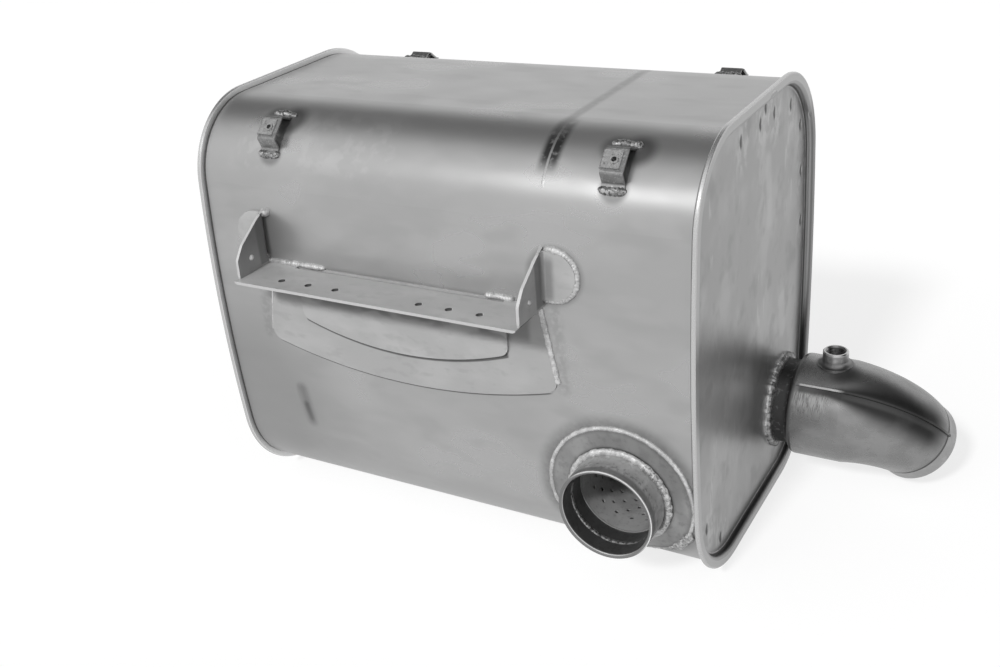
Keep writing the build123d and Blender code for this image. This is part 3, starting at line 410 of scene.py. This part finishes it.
# Painted highlight on the top of the collar, at its upper left.
collar_top_highlight = inlet.both(inlet.step(inlet.axis("Z"), -112, -98), inlet.fade(inlet.axis("X"), 262, 285))
inlet.mark(inlet.both(on_collar, collar_top_highlight), 0.62, 0.36, 0.9)
collar_foot = inlet.both(inlet.fade(inlet_away, 70, 76), inlet.step(inlet_away, 68, 70))
inlet.mark(collar_foot, 0.12, 0.5, 0.6)
inlet.mark(inlet.step(inlet_away, 90, 97), 0.16, 0.48, 0.5)
inlet.relief(inlet.cloud(4, shift=5), 0.05)
dress(["inlet_doubler"], inlet.done())

pipe = Finish("inlet_tube", 0.36, 0.38, 0.65)
pipe_away = pipe.round_axis("Y", INLET_AXIS)
outside = pipe.step(pipe_away, 62, 62.6)
pipe.mark(pipe.step(pipe.cloud(12, (1, 2, 1)), 0.42, 0.62), 0.48, 0.34)
pipe.mark(pipe.step(pipe.cloud(5, shift=3), 0.5, 0.66), 0.18, 0.46, 0.7)
pipe.mark(pipe.both(outside, pipe.step(pipe.axis("Y"), -256, -246)), 0.50, 0.38, 0.5)
pipe.mark(pipe.both(outside, pipe.fade(pipe.axis("Y"), -266, -260)), 0.14, 0.4, 0.8)
mouth = pipe.fade(pipe.axis("Y"), -273.4, -272.4)
up_right = pipe.dot(pipe.place, (0.7, 0, 0.7))
# Painted shade inside the bore of the pipe.
bore = pipe.fade(pipe_away, 59, 60.4)
pipe.mark(bore, 0.06, 0.40, 0.9)
pipe.mark(mouth, 0.22, 0.4)
# Painted highlights on the mouth: along the outer edge at the upper right and the inner edge at the
# lower left.
outer_edge_highlight = pipe.both(mouth, pipe.step(pipe_away, 61.9, 62.5))
pipe.mark(pipe.both(outer_edge_highlight, pipe.step(up_right, 60, 100)), 0.85, 0.22)
inner_edge_highlight = pipe.both(mouth, pipe.fade(pipe_away, 59.0, 59.8))
pipe.mark(pipe.both(inner_edge_highlight, pipe.fade(up_right, 40, 75)), 0.75, 0.22)
weld_inside = pipe.both(pipe.between("Y", -250, -244.6, 1.2), bore)
# The inner weld bead shows lighter, most of all on its lower side, where that is a painted highlight.
weld_low = pipe.both(weld_inside, pipe.step(up_right, 20, 70, 1.0, 0.25))
pipe.mark(pipe.both(weld_low, pipe.step(pipe.cloud(3.5, shift=6), 0.42, 0.56)), 0.5, 0.28, 0.8)
pipe.relief(pipe.cloud(3, shift=9), 0.05)
pipe.relief(pipe.both(weld_inside, pipe.cloud(2.2, shift=4)), 0.5)
dress(["inlet_pipe"], pipe.done())

punched = Finish("punched_tube", 0.38, 0.50, 0.3)
punched.mark(punched.step(punched.cloud(26), 0.42, 0.66), 0.31, 0.46)
punched.mark(punched.step(punched.cloud(5, shift=3), 0.55, 0.7), 0.22, 0.5, 0.6)
punched.mark(punched.fade(punched.axis("Y"), -222.6, -221.6), 0.25, 0.45)
punched.relief(punched.cloud(3, shift=5), 0.04)
dress(["inlet_diffuser"], punched.done())

# Outlet elbow: two pressed half shells welded along the lips, tinted dark at the neck and
# along the outside of the bend, and brushed bright just behind the shoulder.
ELBOW_AXIS = (0, 126.1, -185)
ELBOW_ROLL = math.radians(40.6)
SEAM_SIDE = Vector((0, -math.sin(ELBOW_ROLL), math.cos(ELBOW_ROLL)))
SEAM_NORMAL = Vector((0, math.cos(ELBOW_ROLL), math.sin(ELBOW_ROLL)))
bend = Finish("pressed_elbow", 0.29, 0.27, 0.85)
bend.mark(bend.step(bend.cloud(30, (2, 1, 1)), 0.42, 0.66), 0.34, 0.25)
bend.mark(bend.step(bend.cloud(9, (2, 1, 1), shift=3), 0.5, 0.72), 0.28, 0.34, 0.5)


def elbow_side(finish, direction, offset):
    """Offset distance from the axis of the elbow's straight part, along a way across it."""
    off = finish.node("VectorMath", [finish.place, Vector(ELBOW_AXIS)], operation="SUBTRACT").outputs[0]
    return finish.node("Math", [finish.dot(off, direction), offset], operation="ADD").outputs[0]


seam_side = elbow_side(bend, SEAM_NORMAL, 0.0)
seam_away = bend.far(elbow_side(bend, SEAM_NORMAL, 4.0))
bend_x = bend.axis("X")
widening = bend.step(bend_x, 430, 520, 5.0, 27.0)
band_share = bend.node("Math", [seam_away, widening], operation="DIVIDE").outputs[0]
outer_side = bend.step(elbow_side(bend, SEAM_SIDE, 0.0), -30, 10)
band = bend.both(bend.fade(band_share, 0.4, 1.6), outer_side, bend.step(bend_x, 412, 440))
bend.mark(bend.both(band, bend.step(bend.cloud(40, shift=8), 0.2, 0.5, 0.9, 1.0)), 0.025, 0.36, 0.96)
brushing = bend.step(bend.cloud(1.3, (1, 9, 9), shift=2), 0.40, 0.62)
brushed = bend.both(bend.between("X", 402, 428, 20), brushing)
below_seam = bend.both(bend.fade(seam_side, -13, -5), bend.step(seam_side, -46, -22))
bend.mark(bend.both(brushed, below_seam), 0.66, 0.40, 0.75)
bend.mark(bend.both(brushed, bend.step(seam_side, 8, 20)), 0.42, 0.36, 0.35)
seam_foot = bend.both(bend.step(bend_x, 394, 400), bend.fade(seam_away, 3, 9))
bend.mark(bend.both(seam_foot, outer_side), 0.10, 0.40, 0.7)
neck = bend.fade(bend_x, 381, 394)
bend.mark(neck, 0.07, 0.40, 0.88)
bend.mark(bend.both(neck, bend.step(bend.cloud(6, shift=5), 0.56, 0.66)), 0.26, 0.4, 0.6)
bend.mark(bend.spot((452, 108, -116), 8, 22), 0.07, 0.4, 0.8)
bend.mark(bend.spot((433.5, 126, -110), 22, 7), 0.11, 0.42, 0.7)
elbow_end = Vector((535.117, 159.555, -224.033))
elbow_course = Vector((0.39234, 0.59860, -0.69839))
end_off = bend.node("VectorMath", [bend.place, elbow_end], operation="SUBTRACT").outputs[0]
bend.mark(bend.step(bend.dot(end_off, elbow_course), -6.0, -2.0), 0.05, 0.5, 0.8)
# Painted highlight along the seam lip.
lip_highlight = bend.both(bend.step(bend.round_axis("X", ELBOW_AXIS), 75.0, 75.6), bend.step(bend_x, 395, 400))
bend.mark(bend.both(lip_highlight, bend.fade(bend_x, 446, 462)), 0.85, 0.22)
bend.relief(bend.cloud(40, detail=1.0, shift=6), 0.7)
bend.relief(bend.cloud(3, shift=7), 0.02)
dress(["outlet_elbow_front", "outlet_elbow_rear"], bend.done())

sleeve = Finish("bright_sleeve", 0.42, 0.36, 0.8)
sleeve.mark(sleeve.step(sleeve.cloud(14), 0.4, 0.66), 0.47, 0.33)
sleeve.mark(sleeve.step(sleeve.cloud(4, shift=3), 0.5, 0.7), 0.36, None, 0.4)
sleeve.relief(sleeve.cloud(3, shift=4), 0.03)
dress(["outlet_sleeve"], sleeve.done())

# Sensor boss: turned steel with a bright mouth and a fine thread, flared where it is
# welded to the elbow.
BOSS_PLACE = (433.5, 126.1, 0)
boss = Finish("turned_boss", 0.36, 0.32)
boss_away = boss.round_axis("Z", BOSS_PLACE)
boss.mark(boss.step(boss.cloud(6), 0.42, 0.64), 0.46, 0.28)
boss.mark(boss.fade(boss.axis("Z"), -106, -101), 0.20, 0.42, 0.7)
boss_edge = boss.both(boss.step(boss_away, 14.2, 14.8), boss.step(boss.axis("Z"), -94, -93))
boss.mark(boss_edge, 0.75, 0.24, 0.9)
# Painted shade inside the threaded bore.
boss.mark(boss.fade(boss_away, 11.4, 13.0), 0.08, 0.35, 0.85)
boss.relief(boss.cloud(2, shift=3), 0.03)
dress(["sensor_boss"], boss.done())


def ridge_mesh(name, path, outs, section, closed=False):
    """Sweeps a section, a list of (side, out) per point of the path, along the path."""
    count = len(path)
    mesh = bmesh.new()
    rows = []
    for index, point in enumerate(path):
        ahead = path[(index + 1) % count] if closed or index < count - 1 else point
        behind = path[index - 1] if closed or index > 0 else point
        course = (ahead - behind).normalized()
        out = outs[index]
        side = course.cross(out).normalized()
        row = [mesh.verts.new(point + side * across + out * rise) for across, rise in section(index)]
        rows.append(row)
    for index in range(count if closed else count - 1):
        here, there = rows[index], rows[(index + 1) % count]
        for edge in range(len(here) - 1):
            mesh.faces.new((here[edge], here[edge + 1], there[edge + 1], there[edge]))
    if not closed:
        mesh.faces.new(rows[0])
        mesh.faces.new(list(reversed(rows[-1])))
    return solid_piece(name, mesh)


THREAD_STEPS = 30
THREAD_TURNS = 10
THREAD_PITCH = 1.5
THREAD_RADIUS = 0.01105
thread_path = []
thread_outs = []
for step in range(THREAD_STEPS * THREAD_TURNS + 1):
    turn = 2 * math.pi * step / THREAD_STEPS
    inward = Vector((-math.cos(turn), -math.sin(turn), 0))
    height = -94.6 - THREAD_PITCH * step / THREAD_STEPS
    thread_path.append(at(BOSS_PLACE[0], BOSS_PLACE[1], height) - inward * THREAD_RADIUS)
    thread_outs.append(inward)
thread_form = [(-0.0006, -0.0003), (-0.0001, 0.0008), (0.0001, 0.0008), (0.0006, -0.0003)]
thread = ridge_mesh("boss_thread", thread_path, thread_outs, lambda step: thread_form)
thread_metal = Finish("cut_thread", 0.28, 0.28)
thread_metal.mark(thread_metal.step(thread_metal.cloud(3), 0.4, 0.65), 0.12, 0.4)
thread.data.materials.append(thread_metal.done())
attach(thread, "root")

# Mounting bracket: one folded plate with a shelf, two ears and welded feet, on a thin
# doubler. Matt sheet with lighter cut edges, partly bare metal and partly a painted
# highlight, and with painted shade and a painted shadow of the shelf close under it.
folded = Finish("folded_plate", 0.39, 0.48, 0.25)
folded.mark(folded.step(folded.cloud(40, (2, 1, 1)), 0.42, 0.66), 0.43, 0.45)
folded.mark(folded.step(folded.cloud(11, (2, 1, 1), 2.0, 3), 0.5, 0.7), 0.34, 0.5, 0.5)
# Cut edges of the shelf front and of the ears: lighter for bare metal, and partly a painted highlight.
edge_front = folded.fade(folded.axis("Y"), -300.9, -300.5)
folded.mark(edge_front, 0.50, 0.40)
ear_side = folded.step(folded.far(folded.facing("X")), 0.3, 0.6)
ear_zone = folded.step(folded.axis("Z"), 97, 99)
ear_edge = folded.both(folded.fade(folded.facing("Y"), -0.5, -0.3), ear_zone)
ear_edge = folded.both(ear_edge, folded.fade(folded.axis("Y"), -238, -232))
folded.mark(ear_edge, 0.50, 0.38)
# Painted shade at the roots of the ears, where they meet the shell.
ear_root = folded.both(folded.between("Y", -245, -226, 5), ear_zone, ear_side)
folded.mark(ear_root, 0.16, 0.45, 0.75)
fold_mark = folded.both(folded.between("Z", 86, 91, 3), folded.step(folded.axis("Y"), -240, -236))
folded.mark(fold_mark, 0.26, 0.45, 0.5)
# Shelf holes: painted light on the hole walls that face the light and painted shade on the others.
hole_wall = folded.both(folded.between("Y", -291, -261, 1), folded.between("Z", 91.8, 95.2, 0.3))
hole_wall = folded.both(hole_wall, folded.fade(folded.facing("Z"), 0.2, 0.5))
folded.mark(folded.both(hole_wall, folded.step(folded.facing("Z"), -0.6, -0.4)), 0.75, 0.35)
folded.mark(folded.both(hole_wall, folded.step(folded.facing("X"), -0.45, -0.25)), 0.03, 0.5, 0.95)
# Painted shade and dirt on the downward faces of the bracket's lower edges.
under = folded.both(folded.fade(folded.facing("Z"), -0.6, -0.3), folded.fade(folded.axis("Z"), 60, 66))
folded.mark(under, 0.04, 0.5, 0.92)
# Painted shade on the inner face of the left ear, which faces away from the light.
left_ear = folded.fade(folded.axis("X"), BRACKET_X - 150, BRACKET_X - 100)
ear_face_shade = folded.both(folded.step(folded.facing("X"), 0.5, 0.8), left_ear)
folded.mark(folded.both(ear_face_shade, folded.step(folded.axis("Z"), 100, 165, 0.4, 1.0)), 0.13, 0.42, 0.8)
# Painted shadow of the right ear on the left part of the right foot lobe.
ear_shadow_on_lobe = folded.between("X", BRACKET_X + 214, BRACKET_X + 226, 8)
ear_shadow_on_lobe = folded.both(ear_shadow_on_lobe, folded.between("Z", 112, 152, 14))
folded.mark(folded.both(ear_shadow_on_lobe, folded.step(folded.axis("Y"), -240, -234)), 0.18, 0.45, 0.65)
# Painted shadow of the shelf on the flange below it, broken into patches.
shelf_shadow = folded.both(folded.between("Z", 52, 80, 16), folded.step(folded.axis("Y"), -246, -240))
shelf_shadow_breakup = folded.step(folded.cloud(17, (2, 1, 1), 1.5, 9), 0.40, 0.62, 1.0, 0.45)
folded.mark(folded.both(shelf_shadow, shelf_shadow_breakup), 0.09, 0.5, 0.75)
folded.relief(folded.cloud(3, shift=5), 0.04)
folded.relief(folded.cloud(60, detail=1.0, shift=2), 0.5)
dress(["mounting_bracket"], folded.done())

thin = Finish("thin_doubler", 0.37, 0.46, 0.25)
thin.mark(thin.step(thin.cloud(50, (2, 1, 1)), 0.42, 0.66), 0.41, 0.43)
thin.mark(thin.step(thin.cloud(12, (2, 1, 1), 2.0, 4), 0.52, 0.7), 0.32, 0.47, 0.5)
# Painted shadow of the shelf on the doubler below it.
shelf_shadow_reach = thin.between("X", BRACKET_X - 240, BRACKET_X + 188, 10)
thin.mark(thin.both(thin.between("Z", 52, 80, 16), shelf_shadow_reach), 0.12, 0.5, 0.6)
# Painted shade and dirt: a dark line along the lower edge of the bracket flange.
FLANGE_ARC_Z = 463
flange_away = thin.round_axis("Y", (BRACKET_X, 0, FLANGE_ARC_Z))
flange_shade_line = thin.both(thin.step(flange_away, 468.5, 469.5), thin.fade(flange_away, 474.5, 476.5))
flange_shade_line = thin.both(flange_shade_line, thin.between("X", BRACKET_X - 158, BRACKET_X + 158, 4))
thin.mark(flange_shade_line, 0.06, 0.5, 0.85)
thin.relief(thin.cloud(4, shift=5), 0.04)
dress(["bracket_doubler"], thin.done())

# Bridge straps and clip nuts: small folded straps, darkened by the heat of their welds,
# and a clip nut of spring steel pushed over the top of each.
strap = Finish("welded_strap", 0.26, 0.38, 0.85)
strap.mark(strap.step(strap.cloud(6), 0.44, 0.6), 0.30, 0.36)
strap.mark(strap.step(strap.cloud(2.5, shift=4), 0.56, 0.66), 0.5, 0.34, 0.7)
strap.relief(strap.cloud(2, shift=6), 0.12)
dress(["strap_front_left", "strap_front_right", "strap_rear_left", "strap_rear_right"], strap.done())

spring = Finish("spring_clip", 0.42, 0.28, 0.9)
spring.mark(spring.step(spring.cloud(5), 0.44, 0.6), 0.50, 0.26)
spring.mark(spring.step(spring.cloud(2.2, shift=4), 0.56, 0.66), 0.14, 0.4, 0.7)
spring.relief(spring.cloud(2, shift=6), 0.05)
dress(["clip_nuts"], spring.done())

# Weld beads: ridges of melted steel along the joints, drawn one small pool after another,
# so their width and height wander and their surface is stepped and speckled.
bead = Finish("weld_metal", 0.42, 0.34, 0.8)
bead.mark(bead.step(bead.cloud(4.5), 0.44, 0.58), 0.66, 0.28)
bead.mark(bead.step(bead.cloud(2.2, shift=5), 0.54, 0.64), 0.12, 0.5, 0.7)
bead.mark(bead.step(bead.cloud(1.2, shift=9), 0.6, 0.66), 0.85, 0.22, 0.8)
bead.relief(bead.cloud(1.6, shift=3), 0.35)
speckled_weld = bead.done()
bead = Finish("smooth_weld_metal", 0.50, 0.36, 0.6)
bead.mark(bead.step(bead.cloud(9), 0.44, 0.6), 0.66, 0.32)
bead.mark(bead.step(bead.cloud(4, shift=5), 0.58, 0.7), 0.26, 0.45, 0.5)
bead.relief(bead.cloud(2.2, shift=3), 0.25)
smooth_weld = bead.done()
bead = Finish("strap_weld_metal", 0.27, 0.32, 0.85)
bead.mark(bead.step(bead.cloud(5), 0.46, 0.58), 0.50, 0.28)
bead.mark(bead.step(bead.cloud(2.6, shift=5), 0.5, 0.6), 0.07, 0.45, 0.8)
bead.mark(bead.step(bead.cloud(1.6, shift=9), 0.62, 0.68), 0.85, 0.22, 0.7)
bead.relief(bead.cloud(2.0, shift=3), 0.35)
strap_weld = bead.done()
bead = Finish("outlet_weld_metal", 0.30, 0.36, 0.75)
bead.mark(bead.step(bead.cloud(8), 0.44, 0.6), 0.46, 0.32)
bead.mark(bead.step(bead.cloud(5, shift=5), 0.52, 0.64), 0.10, 0.45, 0.7)
# Painted highlight on the side of the bead next to the end plate.
plate_side_highlight = bead.step(bead.cloud(11, shift=8), 0.4, 0.55)
plate_side_highlight = bead.both(bead.fade(bead.axis("X"), 357, 358.5), plate_side_highlight)
bead.mark(plate_side_highlight, 0.85, 0.26, 0.85)
bead.relief(bead.cloud(2.4, shift=3), 0.3)
outlet_weld = bead.done()

shell_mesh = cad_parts["shell"].data
shell_surface = BVHTree.FromPolygons(
    [vertex.co for vertex in shell_mesh.vertices],
    [polygon.vertices for polygon in shell_mesh.polygons],
)


def on_shell(start, course):
    """Point and outward normal where a line meets the outside of the shell."""
    place, normal, *_ = shell_surface.ray_cast(start, course)
    if normal.dot(course) > 0:
        normal = -normal
    return place, normal


def weld_bead(name, run, width, height, seed, metal, closed=False, pool=3.0):
    """Bead, width and height in mm, along a run: points close together and their outward ways."""
    path, outs = run
    lengths = [0.0]
    for one, other in zip(path, path[1:]):
        lengths.append(lengths[-1] + (other - one).length * 1000)
    sides = [math.pi * share / 8 for share in range(-1, 10)]

    def section(index):
        gone = lengths[index]
        loose = noise.noise(Vector((gone * 0.11, seed * 3.7, 0.0)))
        small = noise.noise(Vector((gone * 0.45, seed * 1.3, 5.0)))
        wide = width * (1 + 0.30 * loose + 0.14 * small)
        tall = height * (1 + 0.35 * loose - 0.2 * small)
        if not closed:
            ends = min(gone, lengths[-1] - gone) / (width * 0.6)
            taper = min(1.0, 0.35 + ends)
            wide, tall = wide * taper, tall * taper
        points = []
        for side in sides:
            rise = math.sin(side)
            phase = (gone / pool + 0.38 * rise) % 1.0
            swell = 1 + 0.16 * math.sin(math.pi * phase) - 0.08
            lump = 1 + 0.22 * noise.noise(Vector((gone * 0.8, math.cos(side) * 1.7, seed * 2.1)))
            across = math.cos(side) * wide / 2 * swell
            points.append((across / 1000, rise * tall * swell * lump / 1000))
        return points

    piece = ridge_mesh(name, path, outs, section, closed)
    piece.data.materials.append(metal)
    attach(piece, "root")


def along(points, pace=0.9):
    """Points about pace millimetres apart along straight runs."""
    result = []
    for one, other in zip(points, points[1:]):
        one, other = Vector(one), Vector(other)
        count = max(2, int((other - one).length / pace))
        result += [one.lerp(other, share / count) for share in range(count)]
    result.append(Vector(points[-1]))
    return result


def front_seat(points, lift=0.0):
    """Seats flat (x, z) points on the front of the shell, raised by lift mm."""
    path = []
    outs = []
    for x, z in points:
        place, normal = on_shell(at(x, -400, z), Vector((0, 1, 0)))
        path.append(place + normal * lift / 1000)
        outs.append(normal)
    return path, outs


def ring_points(radius, start=0.0, sweep=360.0):
    """Flat (x, z) points about 1.1 mm apart on an arc round the axis of the inlet."""
    count = int(math.radians(sweep) * radius / 1.1)
    points = []
    for step in range(count):
        turn = math.radians(start + sweep * step / count)
        x = INLET_AXIS[0] + radius * math.sin(turn)
        points.append((x, INLET_AXIS[2] + radius * math.cos(turn)))
    return points


run = front_seat(ring_points(98.6))
weld_bead("doubler_weld", run, 6.5, 3.2, 1, smooth_weld, closed=True)
run = front_seat(ring_points(99.5, start=112, sweep=34))
weld_bead("doubler_weld_end", run, 13.0, 4.4, 2, speckled_weld)
run = front_seat(ring_points(66.4), 4.6)
weld_bead("pipe_weld", run, 10.0, 3.6, 4, smooth_weld, closed=True, pool=12.0)
run = front_seat(ring_points(66.4, start=30, sweep=95), 5.4)
weld_bead("pipe_weld_side", run, 9.0, 4.4, 44, speckled_weld, pool=4.0)

# Bracket welds: stitches behind the shelf, a bead round the right foot, one down each side
# of the doubler and a short one at the top of the left ear.
for name, start, end, seed in (
    ("shelf_weld_left", -268, -164, 5),
    ("shelf_weld_right", 85, 127, 6),
    ("shelf_weld_end", 140, 165, 7),
):
    path, outs = front_seat([(point.x, 97.5) for point in along([(start, 0, 0), (end, 0, 0)])], 0.5)
    outs = [(out + Vector((0, 0, 1))).normalized() for out in outs]
    weld_bead(name, (path, outs), 8.0, 3.8, seed, smooth_weld, pool=4.0)


def flat_run(corners, lift=0.0):
    """Run on the front of the shell along straight lines between flat (x, z) corners."""
    points = along([(x, z, 0) for x, z in corners])
    return front_seat([(point.x, point.y) for point in points], lift)


foot_corners = [(BRACKET_X + 217, 168)]
for turn in range(90, -91, -3):
    angle = math.radians(turn)
    x = BRACKET_X + 228.5 + 31.6 * math.cos(angle)
    foot_corners.append((x, 136 + 32 * math.sin(angle)))
foot_corners.append((BRACKET_X + 213, 104))
for name, corners, width, height, seed, pool in (
    ("doubler_side_weld_left", [(BRACKET_X - 208.5, 93), (BRACKET_X - 228.5, -11)], 3.4, 1.3, 10, 3.0),
    ("foot_weld_right", foot_corners, 9.0, 3.8, 9, 4.0),
    ("doubler_side_weld_right", [(BRACKET_X + 208.5, 93), (BRACKET_X + 228.5, -11)], 7.5, 3.2, 11, 3.0),
):
    run = flat_run(corners)
    weld_bead(name, run, width, height, seed, smooth_weld, pool=pool)
run = flat_run([(-262, 162), (-249, 170)], 0.5)
weld_bead("ear_top_weld", run, 10.0, 6.0, 12, smooth_weld)

# Strap welds: a lumpy bead round the end of each strap foot, on the round corners that
# join the top of the shell to its front and its back.
HALF_DEPTH = 229.5
for name, x, side_y, radius, angle, seed in (
    ("front_left", -245, -1, 107, 46, 20),
    ("front_right", 256, -1, 107, 46, 24),
    ("rear_left", -238, 1, 136, 52, 28),
    ("rear_right", 265, 1, 136, 52, 32),
):
    centre_z = HALF_HEIGHT - radius
    reach = math.sqrt((CROWN_RADIUS - radius) ** 2 - centre_z**2)
    centre = at(x, side_y * (reach - (CROWN_RADIUS - HALF_DEPTH)), centre_z)
    for end, low in ((1, "upper"), (-1, "lower")):
        path = []
        outs = []
        corners = [(-18, 29.5), (-6, 31), (8, 30.5), (19 + 2 * end, 29)]
        for point in along([(across, run, 0) for across, run in corners], 0.8):
            turn = math.radians(angle) + end * point.y / radius
            out = Vector((0, side_y * math.cos(turn), math.sin(turn)))
            path.append(centre + out * radius / 1000 + Vector((point.x / 1000, 0, 0)))
            outs.append(out)
        name_here = f"strap_weld_{name}_{low}"
        weld_bead(name_here, (path, outs), 10.5, 4.8, seed + end, strap_weld, pool=6.0)

# Outlet weld: a coarse bead between the neck of the elbow and the end plate.
path = []
outs = []
NECK_STEPS = 380
NECK_RADIUS = 0.0628
for step in range(NECK_STEPS):
    turn = 2 * math.pi * step / NECK_STEPS
    away = Vector((0, math.cos(turn), math.sin(turn)))
    path.append(at(PLATE_X + 0.6, ELBOW_AXIS[1], ELBOW_AXIS[2]) + away * NECK_RADIUS)
    outs.append((away + Vector((1, 0, 0))).normalized())
weld_bead("outlet_weld", (path, outs), 15.0, 7.0, 40, outlet_weld, closed=True, pool=10.0)

# Studio: a pale floor under the rims, a white surround and soft light from panels in
# front, at the left and behind, with a darker gap overhead.
FLOOR_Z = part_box("end_plate_left")[0].z
floor_mesh = bpy.data.meshes.new("floor")
floor_mesh.from_pydata([(-9, -9, 0), (9, -9, 0), (9, 9, 0), (-9, 9, 0)], [], [(0, 1, 2, 3)])
floor = bpy.data.objects.new("floor", floor_mesh)
floor.location = (0, 0, FLOOR_Z)
bpy.context.scene.collection.objects.link(floor)
floor_material = bpy.data.materials.new("pale_floor")
floor_material.use_nodes = True
floor_tree = floor_material.node_tree
floor_shader = floor_tree.nodes["Principled BSDF"]
floor_shader.inputs["Base Color"].default_value = (0.25, 0.25, 0.25, 1)
floor_shader.inputs["Roughness"].default_value = 0.9
floor_shader.inputs["Specular IOR Level"].default_value = 0.1
floor_shader.inputs["Emission Color"].default_value = (1, 1, 1, 1)
rays = add_node(floor_tree, "LightPath")
glow = 0.0
for ray, strength in (("Is Camera Ray", 0.75), ("Is Glossy Ray", 0.50), ("Is Transmission Ray", 0.75)):
    lit = [rays.outputs[ray], strength, glow]
    glow = add_node(floor_tree, "Math", lit, operation="MULTIPLY_ADD").outputs[0]
floor_tree.links.new(glow, floor_shader.inputs["Emission Strength"])
floor.data.materials.append(floor_material)

world = bpy.data.worlds.new("studio")
bpy.context.scene.world = world
world.use_nodes = True
sky = world.node_tree
for old in list(sky.nodes):
    sky.nodes.remove(old)


def sky_math(kind, one, other):
    return add_node(sky, "Math", [one, other], operation=kind).outputs[0]


view_way = add_node(sky, "TexCoord").outputs["Generated"]
way_parts = add_node(sky, "SeparateXYZ", [view_way])
ahead = sky_math("MULTIPLY", way_parts.outputs["Y"], -1.0)
turn = sky_math("ARCTAN2", way_parts.outputs["Z"], ahead)
degrees = sky_math("MULTIPLY", turn, 180 / math.pi)


def sky_band(value, edges, high):
    """Level that rises over the first two edges and falls again over the last two."""
    rise = smooth_step(sky, value, edges[0], edges[1], 0.0, high)
    fall = smooth_step(sky, value, edges[2], edges[3], 1.0, 0.0)
    return sky_math("MULTIPLY", rise, fall)


SKY_LEVEL = 0.79
level = sky_math("SUBTRACT", SKY_LEVEL, sky_band(degrees, (62, 104, 120, 158), SKY_LEVEL))
for heights, sides, strength in (
    ((20, 34, 40, 54), (-0.52, -0.36, -0.20, 0.0), 1.4),
    ((27, 35, 39, 47), (-0.44, -0.38, -0.30, -0.20), 2.0),
    ((8, 22, 40, 60), (0.2, 0.45, 0.7, 0.9), 0.35),
):
    lit = sky_band(degrees, heights, strength)
    across = sky_band(way_parts.outputs["X"], sides, 1.0)
    level = sky_math("ADD", level, sky_math("MULTIPLY", lit, across))
to_camera = add_node(sky, "LightPath").outputs["Is Camera Ray"]
seen = add_node(sky, "Mix", [to_camera, None, level, 1.0], data_type="FLOAT").outputs[0]
background = add_node(sky, "Background", [(1, 1, 1, 1), seen])
add_node(sky, "OutputWorld", [background.outputs[0]])

key_data = bpy.data.lights.new("key", "SUN")
key_data.energy = 2.7
key_data.angle = math.radians(7)
key = bpy.data.objects.new("key", key_data)
key.rotation_euler = Vector((-0.06, -0.78, 0.62)).to_track_quat("Z", "Y").to_euler()
key.visible_glossy = False
bpy.context.scene.collection.objects.link(key)

# Camera at the photograph's place and angle, with its horizon turned a little.
CAMERA_RIGHT = Vector((0.8683, 0.4893, -0.0816))
CAMERA_UP = Vector((-0.1554, 0.4246, 0.8919))
CAMERA_PLACE = Vector((0.5440, -1.0860, 0.8654))
camera_data = bpy.data.cameras.new("viewer")
camera_data.lens = 42.556
camera_data.sensor_width = 36.0
camera_data.clip_end = 100.0
camera = bpy.data.objects.new("viewer", camera_data)
bpy.context.scene.collection.objects.link(camera)
back = CAMERA_RIGHT.cross(CAMERA_UP).normalized()
up = back.cross(CAMERA_RIGHT).normalized()
right = up.cross(back)
turned = Matrix((right, up, back)).transposed().to_4x4()
camera.matrix_world = Matrix.Translation(CAMERA_PLACE) @ turned
bpy.context.scene.camera = camera
bpy.context.scene.view_settings.view_transform = "Standard"
